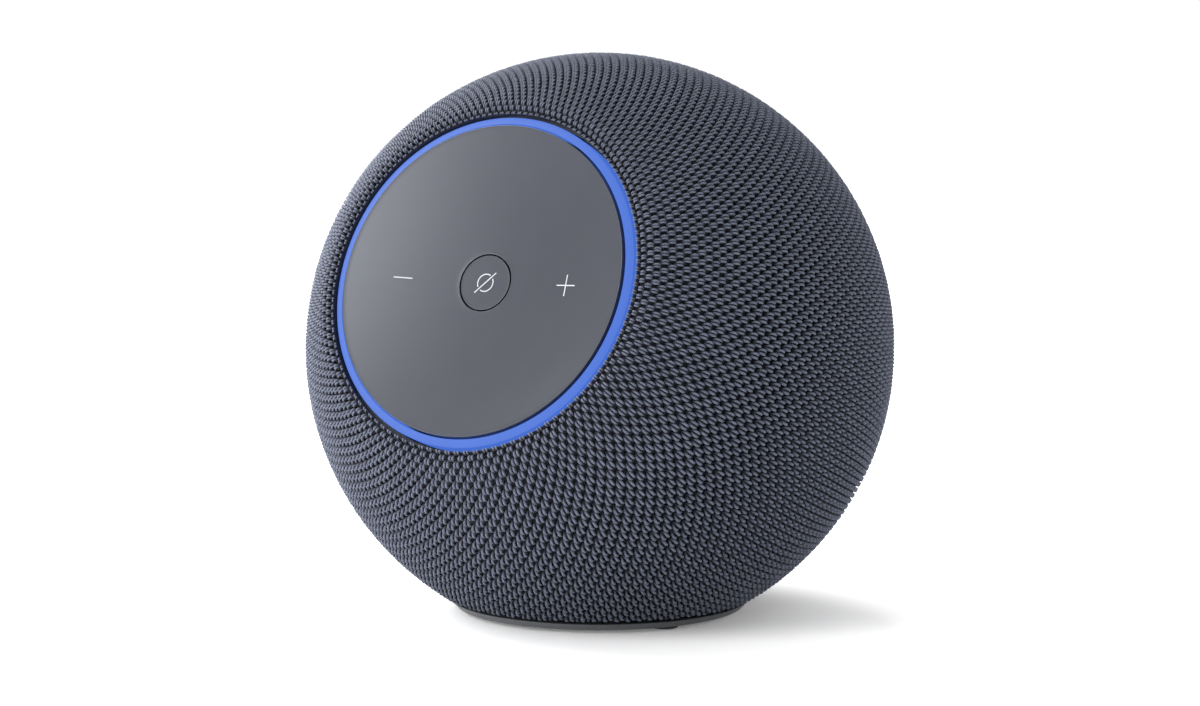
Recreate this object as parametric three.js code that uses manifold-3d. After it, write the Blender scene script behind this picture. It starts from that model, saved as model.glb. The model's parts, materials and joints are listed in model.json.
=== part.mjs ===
// Ball-shaped smart speaker: a knitted ball on a small base, with a dished control face that
// looks forward and up, a ring of light around it, and one button in its middle.
// Inside are a woofer behind the face, a tweeter above it, and a board in the base.
// Millimetres and degrees, +Z up, front towards -Y, origin on the surface it stands on.

import * as THREE from 'three';
import { mergeVertices } from 'three/addons/utils/BufferGeometryUtils.js';
import Module from 'manifold-3d';

const wasm = await Module();
wasm.setup();

// ---- Driving dimensions -------------------------------------------------------------------

const FIT = 0.3; // clearance between pieces that touch
const OVERCUT = 1; // how far a cutting tool passes the face that it cuts

// The ball, its cover and its housing
const BALL_RADIUS = 54.35;
const COVER_THICKNESS = 1.6;
const COVER_BASE_RADIUS = 28.5; // of the ball where the cover ends above the base
const SHELL_WALL = 2.2;
const GRILLE_WALL = 2.0;
const GRILLE_SLOTS = 12;
const GRILLE_SLOT_WIDTH = 10;
const GRILLE_SLOT_LENGTH = 21;
const GRILLE_SLOT_ANGLE = 61; // from the face's axis to the middle of a slot

// The base
const BASE_RIM_HEIGHT = 1.27;
const BASE_RIM_STEP = 0.6; // how far the rim stands in from the ball
const BASE_RIM_TAPER = 1.18;
const BASE_FLOOR = 2.0;
const BASE_LIP_HEIGHT = 1.8;
const BASE_LIP_WALL = 1.8;
const BASE_LIP_CLEARANCE = 0.519; // from the cover's inside to the lip that locates the base
const FOOT_RADIUS = 2.6;
const FOOT_INSET = 0.8; // from the foot's edge to the base's edge
const FOOT_PROUD = 0.6;
const FOOT_SEAT = 0.9;
const FOOT_ANGLES = [90, 210, 330]; // one behind, two in front
const BASE_SCREW_INSET = 6.32; // from the feet's circle to the screws'
const BASE_SCREW_ANGLES = [30, 150, 270];

// The control face, from the outside in
const FACE_TILT = 20.6; // how far it looks up
const FACE_OPENING_RADIUS = 30.27;
const LIP_RADIUS = 4.5; // rounding of the cover into the opening
const LIP_DROP = 1.62; // the cover's edge lies this far below the full ball
const HEM_DEPTH = 2.5;
const RING_GROOVE = 0.5; // between the cover's edge and the light ring
const RING_WIDTH = 1.43;
const RING_DROP = 0.55; // of its outer edge below the cover's edge
const RING_RISE = 0.56; // of its inner edge over its outer one
const RING_HEIGHT = 3.5;
const PLATE_PROUD = 0.43; // over the light ring's inner edge
const PLATE_THICKNESS = 1.6;
const DISH_DEPTH = 2.26;
const FRAME_DEPTH = 7.7; // from the cover's edge to the back of the face frame
const FRAME_FLANGE = 1.5;
const FRAME_FLANGE_WIDTH = 9.9;
const FRAME_WALL = 1.5;
const SHELF_THICKNESS = 2.0;
const SHELF_OVERLAP = 2.9; // of the grille's shelf under the face frame
const FACE_BOARD_THICKNESS = 1.2;
const FACE_BOARD_OVERLAP = 3.5;
const LED_COUNT = 12;
const LED_SIZE = 1.3;
const LED_STRIP_THICKNESS = 0.6;
const SENSOR_THICKNESS = 0.4;
const MICROPHONE_INSET = 4.97; // from the inside of the frame's flange to the microphones' circle
const MICROPHONES = 4;
const MICROPHONE = { length: 3.8, width: 2.8, height: 1.1, angle: 45 };
const FACE_SCREW_ANGLES = [30, 150, 270];

// The button and its switch
const BUTTON_RADIUS = 4.92;
const BUTTON_SEAM = 0.26;
const BUTTON_FLANGE_WIDTH = 1.4;
const BUTTON_FLANGE_THICKNESS = 0.8;
const BUTTON_STEM_RADIUS = 1.5;
const BUTTON_STEM_LENGTH = 0.2;
const BUTTON_TRAVEL = 0.5;
const SWITCH_WIDTH = 6;
const PLUNGER_RADIUS = 1.7;
const PLUNGER_LENGTH = 1.3;
const PLUNGER_SPARE = 0.05; // of the plunger over the switch at the end of its travel
const PAD_WALL = 1.0;
const PAD_INSET = 0.7; // from the edge of the button's flange to the pad

// The woofer, measured along the face's axis from the ball's centre
const BAFFLE_BACK = 8;
const BAFFLE_THICKNESS = 2.5;
const BAFFLE_EDGE = 0.39; // from the baffle's edge to the cover's clearance
const GASKET_THICKNESS = 1.0;
const GASKET_WIDTH = 1.9;
const WOOFER_BOWL_RADIUS = 29;
const WOOFER_HOLE_CLEARANCE = 0.5;
const WOOFER_FLANGE_WIDTH = 4.4;
const WOOFER_FLANGE_THICKNESS = 1.5;
const WOOFER_WALL = 1.4;
const WOOFER_BOWL_DEPTH = 16.8;
const WOOFER_BOTTOM_RADIUS = 20;
const WOOFER_WINDOWS = 8;
const WOOFER_WINDOW_WIDTH = 8;
const WOOFER_WINDOW_RISE = 5; // from the bowl's bottom to its windows
const WOOFER_WINDOW_DROP = 4; // from the flange to the windows
const WOOFER_NECK_CLEARANCE = 1.2; // from the magnet's gap to the hole in the bowl's bottom
const MAGNET_RADIUS = 20;
const MAGNET_HEIGHT = 10;
const MAGNET_HOLE_CLEARANCE = 2; // from the coil's gap to the magnet's hole
const TOP_PLATE_INSET = 0.5; // from the magnet's edge to the plate's
const BACK_PLATE_INSET = 1;
const TOP_PLATE_THICKNESS = 3;
const BACK_PLATE_THICKNESS = 3.2;
const COIL_RADIUS = 10.5;
const COIL_WALL = 0.8;
const COIL_LENGTH = 12.5;
const COIL_RISE = 5; // of its front over the bowl's bottom
const COIL_GAP = 0.45; // on each side of the coil in the magnet's gap
const CONE_INSET = 4.8; // from the top of the bowl to the cone's edge
const CONE_THICKNESS = 1.0;
const CONE_NECK_RISE = 0.2; // over the front of the coil
const CAP_RISE = 3.4;
const CAP_WALL = 0.6;
const CAP_INSET = 0.1; // of its edge from the coil's
const SURROUND_ROLL = 2.0;
const SURROUND_THICKNESS = 0.5;
const SPIDER_THICKNESS = 0.6;
const SPIDER_RISE = 1.7; // over the inside of the bowl's bottom
const SPIDER_INSET = 1.1;
const WOOFER_SCREW_ANGLES = [45, 135, 225, 315];

// The tweeter, on an axis of its own that leans up from the face's axis
const TWEETER_ANGLE = 61.5;
const TWEETER_FRONT_GAP = 3.05; // from its flange to the inside of the grille
const TWEETER_RADIUS = 10;
const TWEETER_FLANGE_WIDTH = 2.1;
const TWEETER_FLANGE_THICKNESS = 1.2;
const TWEETER_WALL = 1.2;
const TWEETER_DEPTH = 4.7;
const TWEETER_DOME_HEIGHT = 2.2;
const TWEETER_DOME_THICKNESS = 0.5;
const TWEETER_MAGNET_RADIUS = 7.4;
const TWEETER_MAGNET_HEIGHT = 4.2;
const TWEETER_MAGNET_GAP = 1.2; // under the dome
const TWEETER_COLLAR_WALL = 1.3;

// The electronics bay in the base
const BAY_HEIGHT = 16.85;
const BAY_CEILING = 2.0;
const BOARD_THICKNESS = 1.2;
const BOARD_STANDOFF = 5.25;
const BOARD_OFFSET = 3; // of the board's middle behind the ball's axis
const BOARD_EDGE_CLEARANCE = 2.6;
const BOSS_RADIUS = 2.8;
const BOSS_BORE_DEPTH = 9;
const SHIELD_INSET = 1; // from the edge of the heat sink to the shield's
const SHIELD_HEIGHT = 1.7;
const HEAT_SINK_CLEARANCE = 1.92; // from its side to the nearest bosses
const HEAT_SINK_HEIGHT = 6.2;
const HEAT_SINK_BASE = 1.4;
const HEAT_SINK_FINS = 6;
const HEAT_SINK_FIN = 1.2;
const ANTENNA = { thickness: 1, length: 14, height: 6, gap: 1.6 }; // gap from the board's edge

// The power inlet, in a pocket at the back
const POCKET = { width: 17, height: 10.6, wall: 1.2, floor: 1.5 };
const JACK = { width: 9, depth: 10.5, bore: 2.85, boreDepth: 9, pin: 1.0 };
const JACK_SETBACK = 1.37; // of the jack's front from the shell's wall, at the jack's bottom

// Fasteners and leads
const SCREW = { shank: 1.1, head: 2.4, headHeight: 1.1, clearance: 0.3 };
const HEAD_SIDE = 0.6; // share of a head's height that is its straight side
const SMALL_SCREW = { shank: 0.8, head: 1.5, headHeight: 1.0, clearance: 0.3 };
const LEAD_RADIUS = 0.8;
const RIBBON = { width: 8, thickness: 0.4 };
const CABLE_SLOT = { width: 27, height: 3.6, drop: 1 }; // drop below the middle of its margin
const LEAD_HOLE = [20, 14]; // where the woofer's lead passes the ceiling of the bay
const LEAD_SPREAD = 8.5; // from the middle of the slot to the ribbon, and to the tweeter's lead

const SHELL_SAG = 0.27; // the most that a flat of a shell lies inside its circle
const FACE_SEGMENTS = 40;
const INNER_SEGMENTS = 24;
const SMALL_SEGMENTS = 10;
const DOME_STEPS = 5; // across a dome, from its middle to its edge
const COVER_SAG = 0.245; // the same for a flat of the cover's inside, along the face's axis
const FAR = 4 * BALL_RADIUS; // reaches past the whole ball

// ---- Places worked out from them ----------------------------------------------------------

const radians = THREE.MathUtils.degToRad;
const degrees = THREE.MathUtils.radToDeg;
const heightAt = (ballRadius, radius) => Math.sqrt(ballRadius ** 2 - radius ** 2);

const SHELL_SEGMENTS = 4 * Math.ceil(45 / degrees(Math.acos(1 - SHELL_SAG / BALL_RADIUS)));
const COVER_INSIDE = BALL_RADIUS - COVER_THICKNESS;
const SHELL_OUTSIDE = COVER_INSIDE - FIT;
const SHELL_INSIDE = SHELL_OUTSIDE - SHELL_WALL;
const GRILLE_INSIDE = SHELL_OUTSIDE - GRILLE_WALL;

// Up the ball's own vertical axis, from its centre
const COVER_BASE = -heightAt(BALL_RADIUS, COVER_BASE_RADIUS);
const RIM_TOP = COVER_BASE - FIT;
const BASE_BOTTOM = RIM_TOP - BASE_RIM_HEIGHT;
const BASE_FLOOR_TOP = BASE_BOTTOM + BASE_FLOOR;
const LIP_TOP = RIM_TOP + BASE_LIP_HEIGHT;
const SHELL_BOTTOM = LIP_TOP + FIT;
const CENTRE_HEIGHT = FOOT_PROUD - BASE_BOTTOM;
const BASE_RIM_RADIUS = COVER_BASE_RADIUS - BASE_RIM_STEP;
const BASE_RADIUS = BASE_RIM_RADIUS - BASE_RIM_TAPER;
const BASE_LIP_RADIUS = heightAt(COVER_INSIDE - BASE_LIP_CLEARANCE, COVER_BASE);
const FOOT_CIRCLE = BASE_RADIUS - FOOT_INSET - FOOT_RADIUS;
const BASE_SCREW_CIRCLE = FOOT_CIRCLE - BASE_SCREW_INSET;
const BAY_TOP = BASE_FLOOR_TOP + BAY_HEIGHT;
const BOARD_BOTTOM = BASE_FLOOR_TOP + BOARD_STANDOFF;
const BOARD_TOP = BOARD_BOTTOM + BOARD_THICKNESS;
const BOARD_RADIUS = heightAt(SHELL_INSIDE, BOARD_BOTTOM) - BOARD_OFFSET - BOARD_EDGE_CLEARANCE;
// The near side of the bosses beside the heat sink
const BOSS_SIDE = BASE_SCREW_CIRCLE * Math.cos(radians(BASE_SCREW_ANGLES[0])) - BOSS_RADIUS;
const HEAT_SINK_WIDTH = 2 * (BOSS_SIDE - HEAT_SINK_CLEARANCE);
const SHIELD_WIDTH = HEAT_SINK_WIDTH - 2 * SHIELD_INSET;

// Along the face's axis, from the ball's centre
const EDGE = heightAt(BALL_RADIUS, FACE_OPENING_RADIUS) - LIP_DROP;
const HEM = EDGE - HEM_DEPTH;
const LIP_DISTANCE = BALL_RADIUS - LIP_RADIUS; // of the rounding's centre from the ball's
const LIP_LEAN = lipLean();
const LIP_CENTRE = [LIP_DISTANCE * Math.sin(LIP_LEAN), LIP_DISTANCE * Math.cos(LIP_LEAN)];
const FRONT_REACH = LIP_CENTRE[1] * Math.cos(radians(FACE_TILT))
  + LIP_CENTRE[0] * Math.sin(radians(FACE_TILT)) + LIP_RADIUS;
const CENTRE_SETBACK = (FRONT_REACH - BALL_RADIUS) / 2; // puts the origin midway between front and back
const RING_RADIUS = FACE_OPENING_RADIUS - RING_GROOVE;
const RING_INSIDE = RING_RADIUS - RING_WIDTH;
const RING_EDGE = EDGE - RING_DROP;
const PLATE_RADIUS = RING_INSIDE - FIT;
const PLATE_EDGE = RING_EDGE + RING_RISE + PLATE_PROUD;
const plateTop = (radius) => PLATE_EDGE - DISH_DEPTH * (1 - (radius / PLATE_RADIUS) ** 2);
const plateBottom = (radius) => plateTop(radius) - PLATE_THICKNESS;
const FRAME_BACK = EDGE - FRAME_DEPTH;
const FRAME_FLOOR = FRAME_BACK + FRAME_FLANGE;
const FRAME_RADIUS = FACE_OPENING_RADIUS + COVER_THICKNESS;
const FRAME_WALL_RADIUS = RING_INSIDE - 2 * FIT; // outside of the wall that carries the plate
const MICROPHONE_CIRCLE = FRAME_RADIUS - FRAME_FLANGE_WIDTH - MICROPHONE_INSET;
const FACE_BOARD_TOP = FRAME_BACK - FIT;
const FACE_BOARD_BOTTOM = FACE_BOARD_TOP - FACE_BOARD_THICKNESS;
const FACE_BOARD_RADIUS = FRAME_RADIUS - FRAME_FLANGE_WIDTH + FACE_BOARD_OVERLAP;
const COLLAR_RADIUS = FRAME_RADIUS + FIT;
const SHELF_TOP = FRAME_BACK - FIT;
const SHELF_BOTTOM = SHELF_TOP - SHELF_THICKNESS;
const SHELF_INSIDE = FRAME_RADIUS - SHELF_OVERLAP;

const BUTTON_FLANGE_TOP = plateBottom(0) - FIT;
const BUTTON_FLANGE_BOTTOM = BUTTON_FLANGE_TOP - BUTTON_FLANGE_THICKNESS;
const BUTTON_FLANGE_RADIUS = BUTTON_RADIUS + BUTTON_FLANGE_WIDTH;
const STEM_END = BUTTON_FLANGE_BOTTOM - BUTTON_STEM_LENGTH;
const PLUNGER_TOP = STEM_END - FIT;
const SWITCH_TOP = PLUNGER_TOP - BUTTON_TRAVEL - PLUNGER_SPARE;
const SWITCH_BOTTOM = FACE_BOARD_TOP + FIT;

const BAFFLE_FRONT = BAFFLE_BACK + BAFFLE_THICKNESS;
const GRILLE_RIM = BAFFLE_FRONT + FIT;
const GASKET_BACK = BAFFLE_BACK - FIT - GASKET_THICKNESS;
const SHELL_RIM = GASKET_BACK - FIT;
const BAFFLE_RADIUS = heightAt(SHELL_OUTSIDE, BAFFLE_FRONT) - BAFFLE_EDGE;
const FLANGE_BACK = BAFFLE_FRONT + FIT;
const FLANGE_FRONT = FLANGE_BACK + WOOFER_FLANGE_THICKNESS;
const WOOFER_FLANGE_RADIUS = WOOFER_BOWL_RADIUS + WOOFER_FLANGE_WIDTH;
const WOOFER_SCREW_CIRCLE = WOOFER_BOWL_RADIUS + WOOFER_FLANGE_WIDTH / 2;
const BOWL_BOTTOM = FLANGE_BACK - WOOFER_BOWL_DEPTH;
const TOP_PLATE_FRONT = BOWL_BOTTOM - FIT;
const TOP_PLATE_BACK = TOP_PLATE_FRONT - TOP_PLATE_THICKNESS;
const MAGNET_FRONT = TOP_PLATE_BACK - FIT;
const MAGNET_BACK = MAGNET_FRONT - MAGNET_HEIGHT;
const BACK_PLATE_FRONT = MAGNET_BACK - FIT;
const BACK_PLATE_BACK = BACK_PLATE_FRONT - BACK_PLATE_THICKNESS;
const POLE_RADIUS = COIL_RADIUS - COIL_WALL - COIL_GAP;
const GAP_RADIUS = COIL_RADIUS + COIL_GAP;
const COIL_FRONT = BOWL_BOTTOM + COIL_RISE;
const CONE_FRONT = FLANGE_FRONT + FIT;
const CONE_RADIUS = WOOFER_BOWL_RADIUS - CONE_INSET;
const CONE_NECK = COIL_FRONT + CONE_NECK_RISE;

const TWEETER_FLANGE_FRONT = GRILLE_INSIDE - TWEETER_FRONT_GAP;
const TWEETER_FLANGE_BACK = TWEETER_FLANGE_FRONT - TWEETER_FLANGE_THICKNESS;
const TWEETER_BACK = TWEETER_FLANGE_BACK - TWEETER_DEPTH;
const TWEETER_FLANGE_RADIUS = TWEETER_RADIUS + TWEETER_FLANGE_WIDTH;

const INLET_HEIGHT = BAY_TOP - FIT - POCKET.wall - POCKET.height / 2;
const JACK_FRONT = heightAt(SHELL_INSIDE, BOARD_TOP + FIT) - JACK_SETBACK;
const POCKET_FLOOR = JACK_FRONT + FIT + POCKET.floor;
const JACK_HALF_HEIGHT = INLET_HEIGHT - BOARD_TOP - FIT;

// How far the centre of the lip's rounding leans off the face's axis. The rounding touches the
// ball inside and ends on the edge of the opening.
function lipLean() {
  const edge = Math.hypot(FACE_OPENING_RADIUS, EDGE);
  const cosine = (edge ** 2 + LIP_DISTANCE ** 2 - LIP_RADIUS ** 2) / (2 * edge * LIP_DISTANCE);
  return Math.atan2(FACE_OPENING_RADIUS, EDGE) + Math.acos(cosine);
}

// ---- Shapes -------------------------------------------------------------------------------

// The geometry with shared vertices, no flat triangles, and its faces pointing out.
function closed(geometry) {
  const bare = new THREE.BufferGeometry();
  bare.setAttribute('position', geometry.getAttribute('position'));
  bare.setIndex(geometry.getIndex());
  const merged = mergeVertices(bare);
  const corners = [];
  const [a, b, c] = [0, 1, 2].map(() => new THREE.Vector3());
  const place = merged.getAttribute('position');
  let volume = 0;
  for (let i = 0; i < merged.index.count; i += 3) {
    const [p, q, r] = [0, 1, 2].map((k) => merged.index.getX(i + k));
    if (p === q || q === r || r === p) continue;
    corners.push([p, q, r]);
    a.fromBufferAttribute(place, p);
    b.fromBufferAttribute(place, q);
    c.fromBufferAttribute(place, r);
    volume += a.dot(b.cross(c));
  }
  merged.setIndex(corners.flatMap(([p, q, r]) => (volume < 0 ? [p, r, q] : [p, q, r])));
  return merged;
}

// A solid turned about Z from a closed outline of [radius, height] points.
function turned(outline, segments) {
  const points = [...outline, outline[0]].map(([radius, z]) => new THREE.Vector2(radius, z));
  return closed(new THREE.LatheGeometry(points, segments).rotateX(Math.PI / 2));
}

// Points on an arc, for an outline. Angles are measured from +Z towards the radius.
function arc(centre, radius, from, to, steps) {
  return Array.from({ length: steps + 1 }, (_, i) => {
    const angle = radians(from + ((to - from) * i) / steps);
    return [centre[0] + radius * Math.sin(angle), centre[1] + radius * Math.cos(angle)];
  });
}

// The same on the ball, with an end on the polar axis kept exactly on it.
function ballArc(radius, from, to, steps) {
  return arc([0, 0], radius, from, to, steps).map(([r, z]) => [Math.abs(r) < 1e-9 ? 0 : r, z]);
}

const ringOf = (inside, outside, bottom, top, segments) =>
  turned([[inside, bottom], [outside, bottom], [outside, top], [inside, top]], segments);

const rodOf = (radius, bottom, top, segments = SMALL_SEGMENTS) =>
  turned([[0, bottom], [radius, bottom], [radius, top], [0, top]], segments);

// A thin dome of the same wall all over, on a base level.
function domeShape(radius, base, rise, wall) {
  const top = (drop) => Array.from({ length: DOME_STEPS + 1 }, (_, i) => {
    const share = i / DOME_STEPS;
    return [radius * share, base + wall + rise * (1 - share ** 2) - drop];
  });
  return turned([...top(0), ...top(wall).reverse()], INNER_SEGMENTS);
}

// A box from its lowest to its highest corner.
function block(low, high) {
  const size = high.map((value, i) => value - low[i]);
  const middle = high.map((value, i) => (value + low[i]) / 2);
  return closed(new THREE.BoxGeometry(...size)).translate(...middle);
}

// Everything on one side of a level, as a tool that cuts.
const below = (z) => block([-FAR, -FAR, z - FAR], [FAR, FAR, z]);
const above = (z) => block([-FAR, -FAR, z], [FAR, FAR, z + FAR]);

// An upright prism of an outline between two heights.
function prism(shape, bottom, top, curveSegments = 10) {
  const options = { depth: top - bottom, bevelEnabled: false, curveSegments };
  return closed(new THREE.ExtrudeGeometry(shape, options)).translate(0, 0, bottom);
}

// The same laid along Y, with the outline's own Y pointing up.
function prismAlongY(shape, front, back) {
  return prism(shape, -back, -front).rotateX(Math.PI / 2);
}

function stadium(width, height) {
  const [half, radius] = [(width - height) / 2, height / 2];
  const shape = new THREE.Shape();
  shape.absarc(half, 0, radius, -Math.PI / 2, Math.PI / 2, false);
  shape.absarc(-half, 0, radius, Math.PI / 2, (3 * Math.PI) / 2, false);
  return shape;
}

// A section swept along a smooth curve through the points.
function swept(points, shape, steps) {
  const extrudePath = new THREE.CatmullRomCurve3(points.map((p) => new THREE.Vector3(...p)));
  const options = { steps, extrudePath, curveSegments: 3, bevelEnabled: false };
  return closed(new THREE.ExtrudeGeometry(shape, options));
}

const roundLead = () => new THREE.Shape().absarc(0, 0, LEAD_RADIUS, 0, 2 * Math.PI, false);

function toSolid(geometry) {
  const vertProperties = Float32Array.from(geometry.getAttribute('position').array);
  const triVerts = Uint32Array.from(geometry.getIndex().array);
  return new wasm.Manifold(new wasm.Mesh({ numProp: 3, vertProperties, triVerts }));
}

function fromSolid(solid) {
  const { vertProperties, triVerts } = solid.getMesh();
  const geometry = new THREE.BufferGeometry();
  geometry.setAttribute('position', new THREE.BufferAttribute(vertProperties, 3));
  geometry.setIndex(new THREE.BufferAttribute(triVerts, 1));
  return geometry;
}

const combine = (method) => (first, ...others) =>
  fromSolid(others.reduce((solid, other) => solid[method](toSolid(other)), toSolid(first)));
const joined = combine('add');
const cut = combine('subtract');
const common = combine('intersect');

// Copies of a geometry turned about Z to each angle.
const around = (angles, make) => angles.map((angle) => make().rotateZ(radians(angle)));
const evenly = (count) => Array.from({ length: count }, (_, i) => (360 * i) / count);

// A pan-head screw whose head sits on a level and whose shank points the given way.
function screwShape(size, headBase, direction, length) {
  const outline = [
    [0, size.headHeight], [size.head, size.headHeight * HEAD_SIDE], [size.head, 0],
    [size.shank, 0], [size.shank, -length], [0, -length],
  ];
  return turned(outline.map(([r, z]) => [r, headBase - direction * z]), SMALL_SEGMENTS);
}

// ---- The assembly -------------------------------------------------------------------------

const speaker = new THREE.Group();
const ball = new THREE.Group(); // about the ball's centre, +Z up
const face = new THREE.Group(); // about the ball's centre, +Z out of the control face
const tweeter = new THREE.Group(); // about the ball's centre, +Z out of the tweeter
ball.position.set(0, CENTRE_SETBACK, CENTRE_HEIGHT);
face.rotation.x = radians(90 - FACE_TILT);
tweeter.rotation.x = -radians(TWEETER_ANGLE);
speaker.add(ball);
ball.add(face);
face.add(tweeter);

const toBall = (geometry) => geometry.rotateX(radians(90 - FACE_TILT));
const toFace = (geometry) => geometry.rotateX(-radians(TWEETER_ANGLE));

const FINISH = {
  knit: { color: 0x565b66, roughness: 0.95, metalness: 0 },
  shell: { color: 0x33353a, roughness: 0.6, metalness: 0 },
  face: { color: 0x6d717b, roughness: 0.42, metalness: 0 },
  light: { color: 0x557ce1, roughness: 0.35, metalness: 0 },
  base: { color: 0x4a4c50, roughness: 0.5, metalness: 0 },
  rubber: { color: 0x1d1e20, roughness: 0.9, metalness: 0 },
  board: { color: 0x14503a, roughness: 0.55, metalness: 0 },
  chip: { color: 0x202124, roughness: 0.5, metalness: 0 },
  steel: { color: 0x9c9ea1, roughness: 0.35, metalness: 1 },
  aluminium: { color: 0xb9bcc0, roughness: 0.4, metalness: 1 },
  ferrite: { color: 0x2b2b2d, roughness: 0.7, metalness: 0 },
  paper: { color: 0x26272a, roughness: 0.85, metalness: 0 },
  copper: { color: 0xb5703c, roughness: 0.4, metalness: 1 },
  lead: { color: 0x8a1f1f, roughness: 0.6, metalness: 0 },
};

function add(group, name, geometry, finish) {
  geometry.computeVertexNormals();
  const mesh = new THREE.Mesh(geometry, new THREE.MeshStandardMaterial(FINISH[finish]));
  mesh.name = name;
  group.add(mesh);
}

// The opening around the power inlet, with room for its bezel.
const inletOpening = (room) =>
  prismAlongY(
    stadium(POCKET.width + 2 * (POCKET.wall + room), POCKET.height + 2 * (POCKET.wall + room)),
    POCKET_FLOOR - POCKET.floor - FIT,
    FAR,
  ).translate(0, 0, INLET_HEIGHT);

function addCover() {
  const lipStart = degrees(LIP_LEAN);
  const lipEnd = degrees(Math.asin((FACE_OPENING_RADIUS - LIP_CENTRE[0]) / LIP_RADIUS));
  const insideStart = degrees(Math.asin(FRAME_RADIUS / COVER_INSIDE));
  const flatAngle = 2 * degrees(Math.acos(1 - COVER_SAG / COVER_INSIDE));
  const outline = [
    ...ballArc(BALL_RADIUS, 180, 90, 9),
    ...ballArc(BALL_RADIUS, 90, lipStart, 5).slice(1),
    ...arc(LIP_CENTRE, LIP_RADIUS, lipStart, lipEnd, 4).slice(1),
    [FACE_OPENING_RADIUS, HEM], [FRAME_RADIUS, HEM],
    ...ballArc(COVER_INSIDE, insideStart, 180, Math.ceil((180 - insideStart) / flatAngle)),
  ];
  const skin = toBall(turned(outline, SHELL_SEGMENTS));
  add(ball, 'knit_cover', cut(skin, below(COVER_BASE), inletOpening(FIT)), 'knit');
}

function addGrille() {
  const wallStart = degrees(Math.acos(GRILLE_RIM / SHELL_OUTSIDE));
  const wallEnd = degrees(Math.asin(COLLAR_RADIUS / SHELL_OUTSIDE));
  const collarOutside = COLLAR_RADIUS + GRILLE_WALL;
  const insideStart = degrees(Math.asin(collarOutside / GRILLE_INSIDE));
  const insideEnd = degrees(Math.acos(GRILLE_RIM / GRILLE_INSIDE));
  const outline = [
    ...ballArc(SHELL_OUTSIDE, wallStart, wallEnd, 5),
    [COLLAR_RADIUS, SHELF_TOP], [SHELF_INSIDE, SHELF_TOP],
    [SHELF_INSIDE, SHELF_BOTTOM], [collarOutside, SHELF_BOTTOM],
    ...ballArc(GRILLE_INSIDE, insideStart, insideEnd, 5),
  ];
  const middle = (SHELL_OUTSIDE + GRILLE_INSIDE) / 2;
  const slots = around(evenly(GRILLE_SLOTS), () => {
    const half = [GRILLE_SLOT_LENGTH / 2, GRILLE_SLOT_WIDTH / 2, 2 * GRILLE_WALL];
    return block(half.map((value) => -value), half)
      .translate(0, 0, middle)
      .rotateY(radians(GRILLE_SLOT_ANGLE));
  });
  const collar = common(
    toFace(ringOf(
      TWEETER_FLANGE_RADIUS + FIT, TWEETER_FLANGE_RADIUS + FIT + TWEETER_COLLAR_WALL,
      TWEETER_FLANGE_BACK - TWEETER_FLANGE_THICKNESS, SHELL_OUTSIDE, INNER_SEGMENTS,
    )),
    turned(ballArc((SHELL_OUTSIDE + GRILLE_INSIDE) / 2, 180, 0, 16), INNER_SEGMENTS),
  );
  const insideOfFace = rodOf(COLLAR_RADIUS, SHELF_TOP, FAR, SHELL_SEGMENTS);
  const wall = cut(turned(outline, SHELL_SEGMENTS), ...slots);
  const screwHoles = around(FACE_SCREW_ANGLES, () =>
    faceScrewHole(SHELF_BOTTOM - OVERCUT, SHELF_TOP + OVERCUT));
  const grille = joined(wall, cut(collar, below(GRILLE_RIM), insideOfFace));
  add(face, 'front_grille', cut(grille, ...screwHoles), 'shell');
}

const faceScrewHole = (bottom, top) =>
  rodOf(SMALL_SCREW.shank + SMALL_SCREW.clearance, bottom, top).translate(faceScrewCircle(), 0, 0);
const faceScrewCircle = () => (SHELF_INSIDE + FRAME_RADIUS) / 2;

function addRearShell() {
  const half = (radius, rim) => toBall(turned([
    ...ballArc(radius, 180, degrees(Math.acos(rim / radius)), 10),
    [0, rim],
  ], SHELL_SEGMENTS));
  const hollow = half(SHELL_INSIDE, SHELL_RIM + FIT);
  const chamber = cut(hollow, below(BAY_TOP + BAY_CEILING));
  const bay = cut(hollow, above(BAY_TOP));
  const whole = half(SHELL_OUTSIDE, SHELL_RIM);
  const bosses = around(BASE_SCREW_ANGLES, () =>
    rodOf(BOSS_RADIUS, SHELL_BOTTOM, BAY_TOP + BAY_CEILING / 2).translate(BASE_SCREW_CIRCLE, 0, 0));
  const bore = () => rodOf(
    SCREW.shank + SCREW.clearance, SHELL_BOTTOM - OVERCUT, SHELL_BOTTOM + BOSS_BORE_DEPTH,
  ).translate(BASE_SCREW_CIRCLE, 0, 0);
  const leadHole = rodOf(
    LEAD_RADIUS + 2 * FIT, BAY_TOP - OVERCUT, BAY_TOP + BAY_CEILING + OVERCUT,
  ).translate(LEAD_HOLE[0], LEAD_HOLE[1], 0);
  const shell = cut(whole, below(SHELL_BOTTOM), chamber, bay, inletOpening(FIT));
  const withBosses = joined(shell, ...bosses.map((boss) => common(boss, whole)));
  add(ball, 'rear_shell', cut(withBosses, leadHole, ...around(BASE_SCREW_ANGLES, bore)), 'shell');
}

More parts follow.
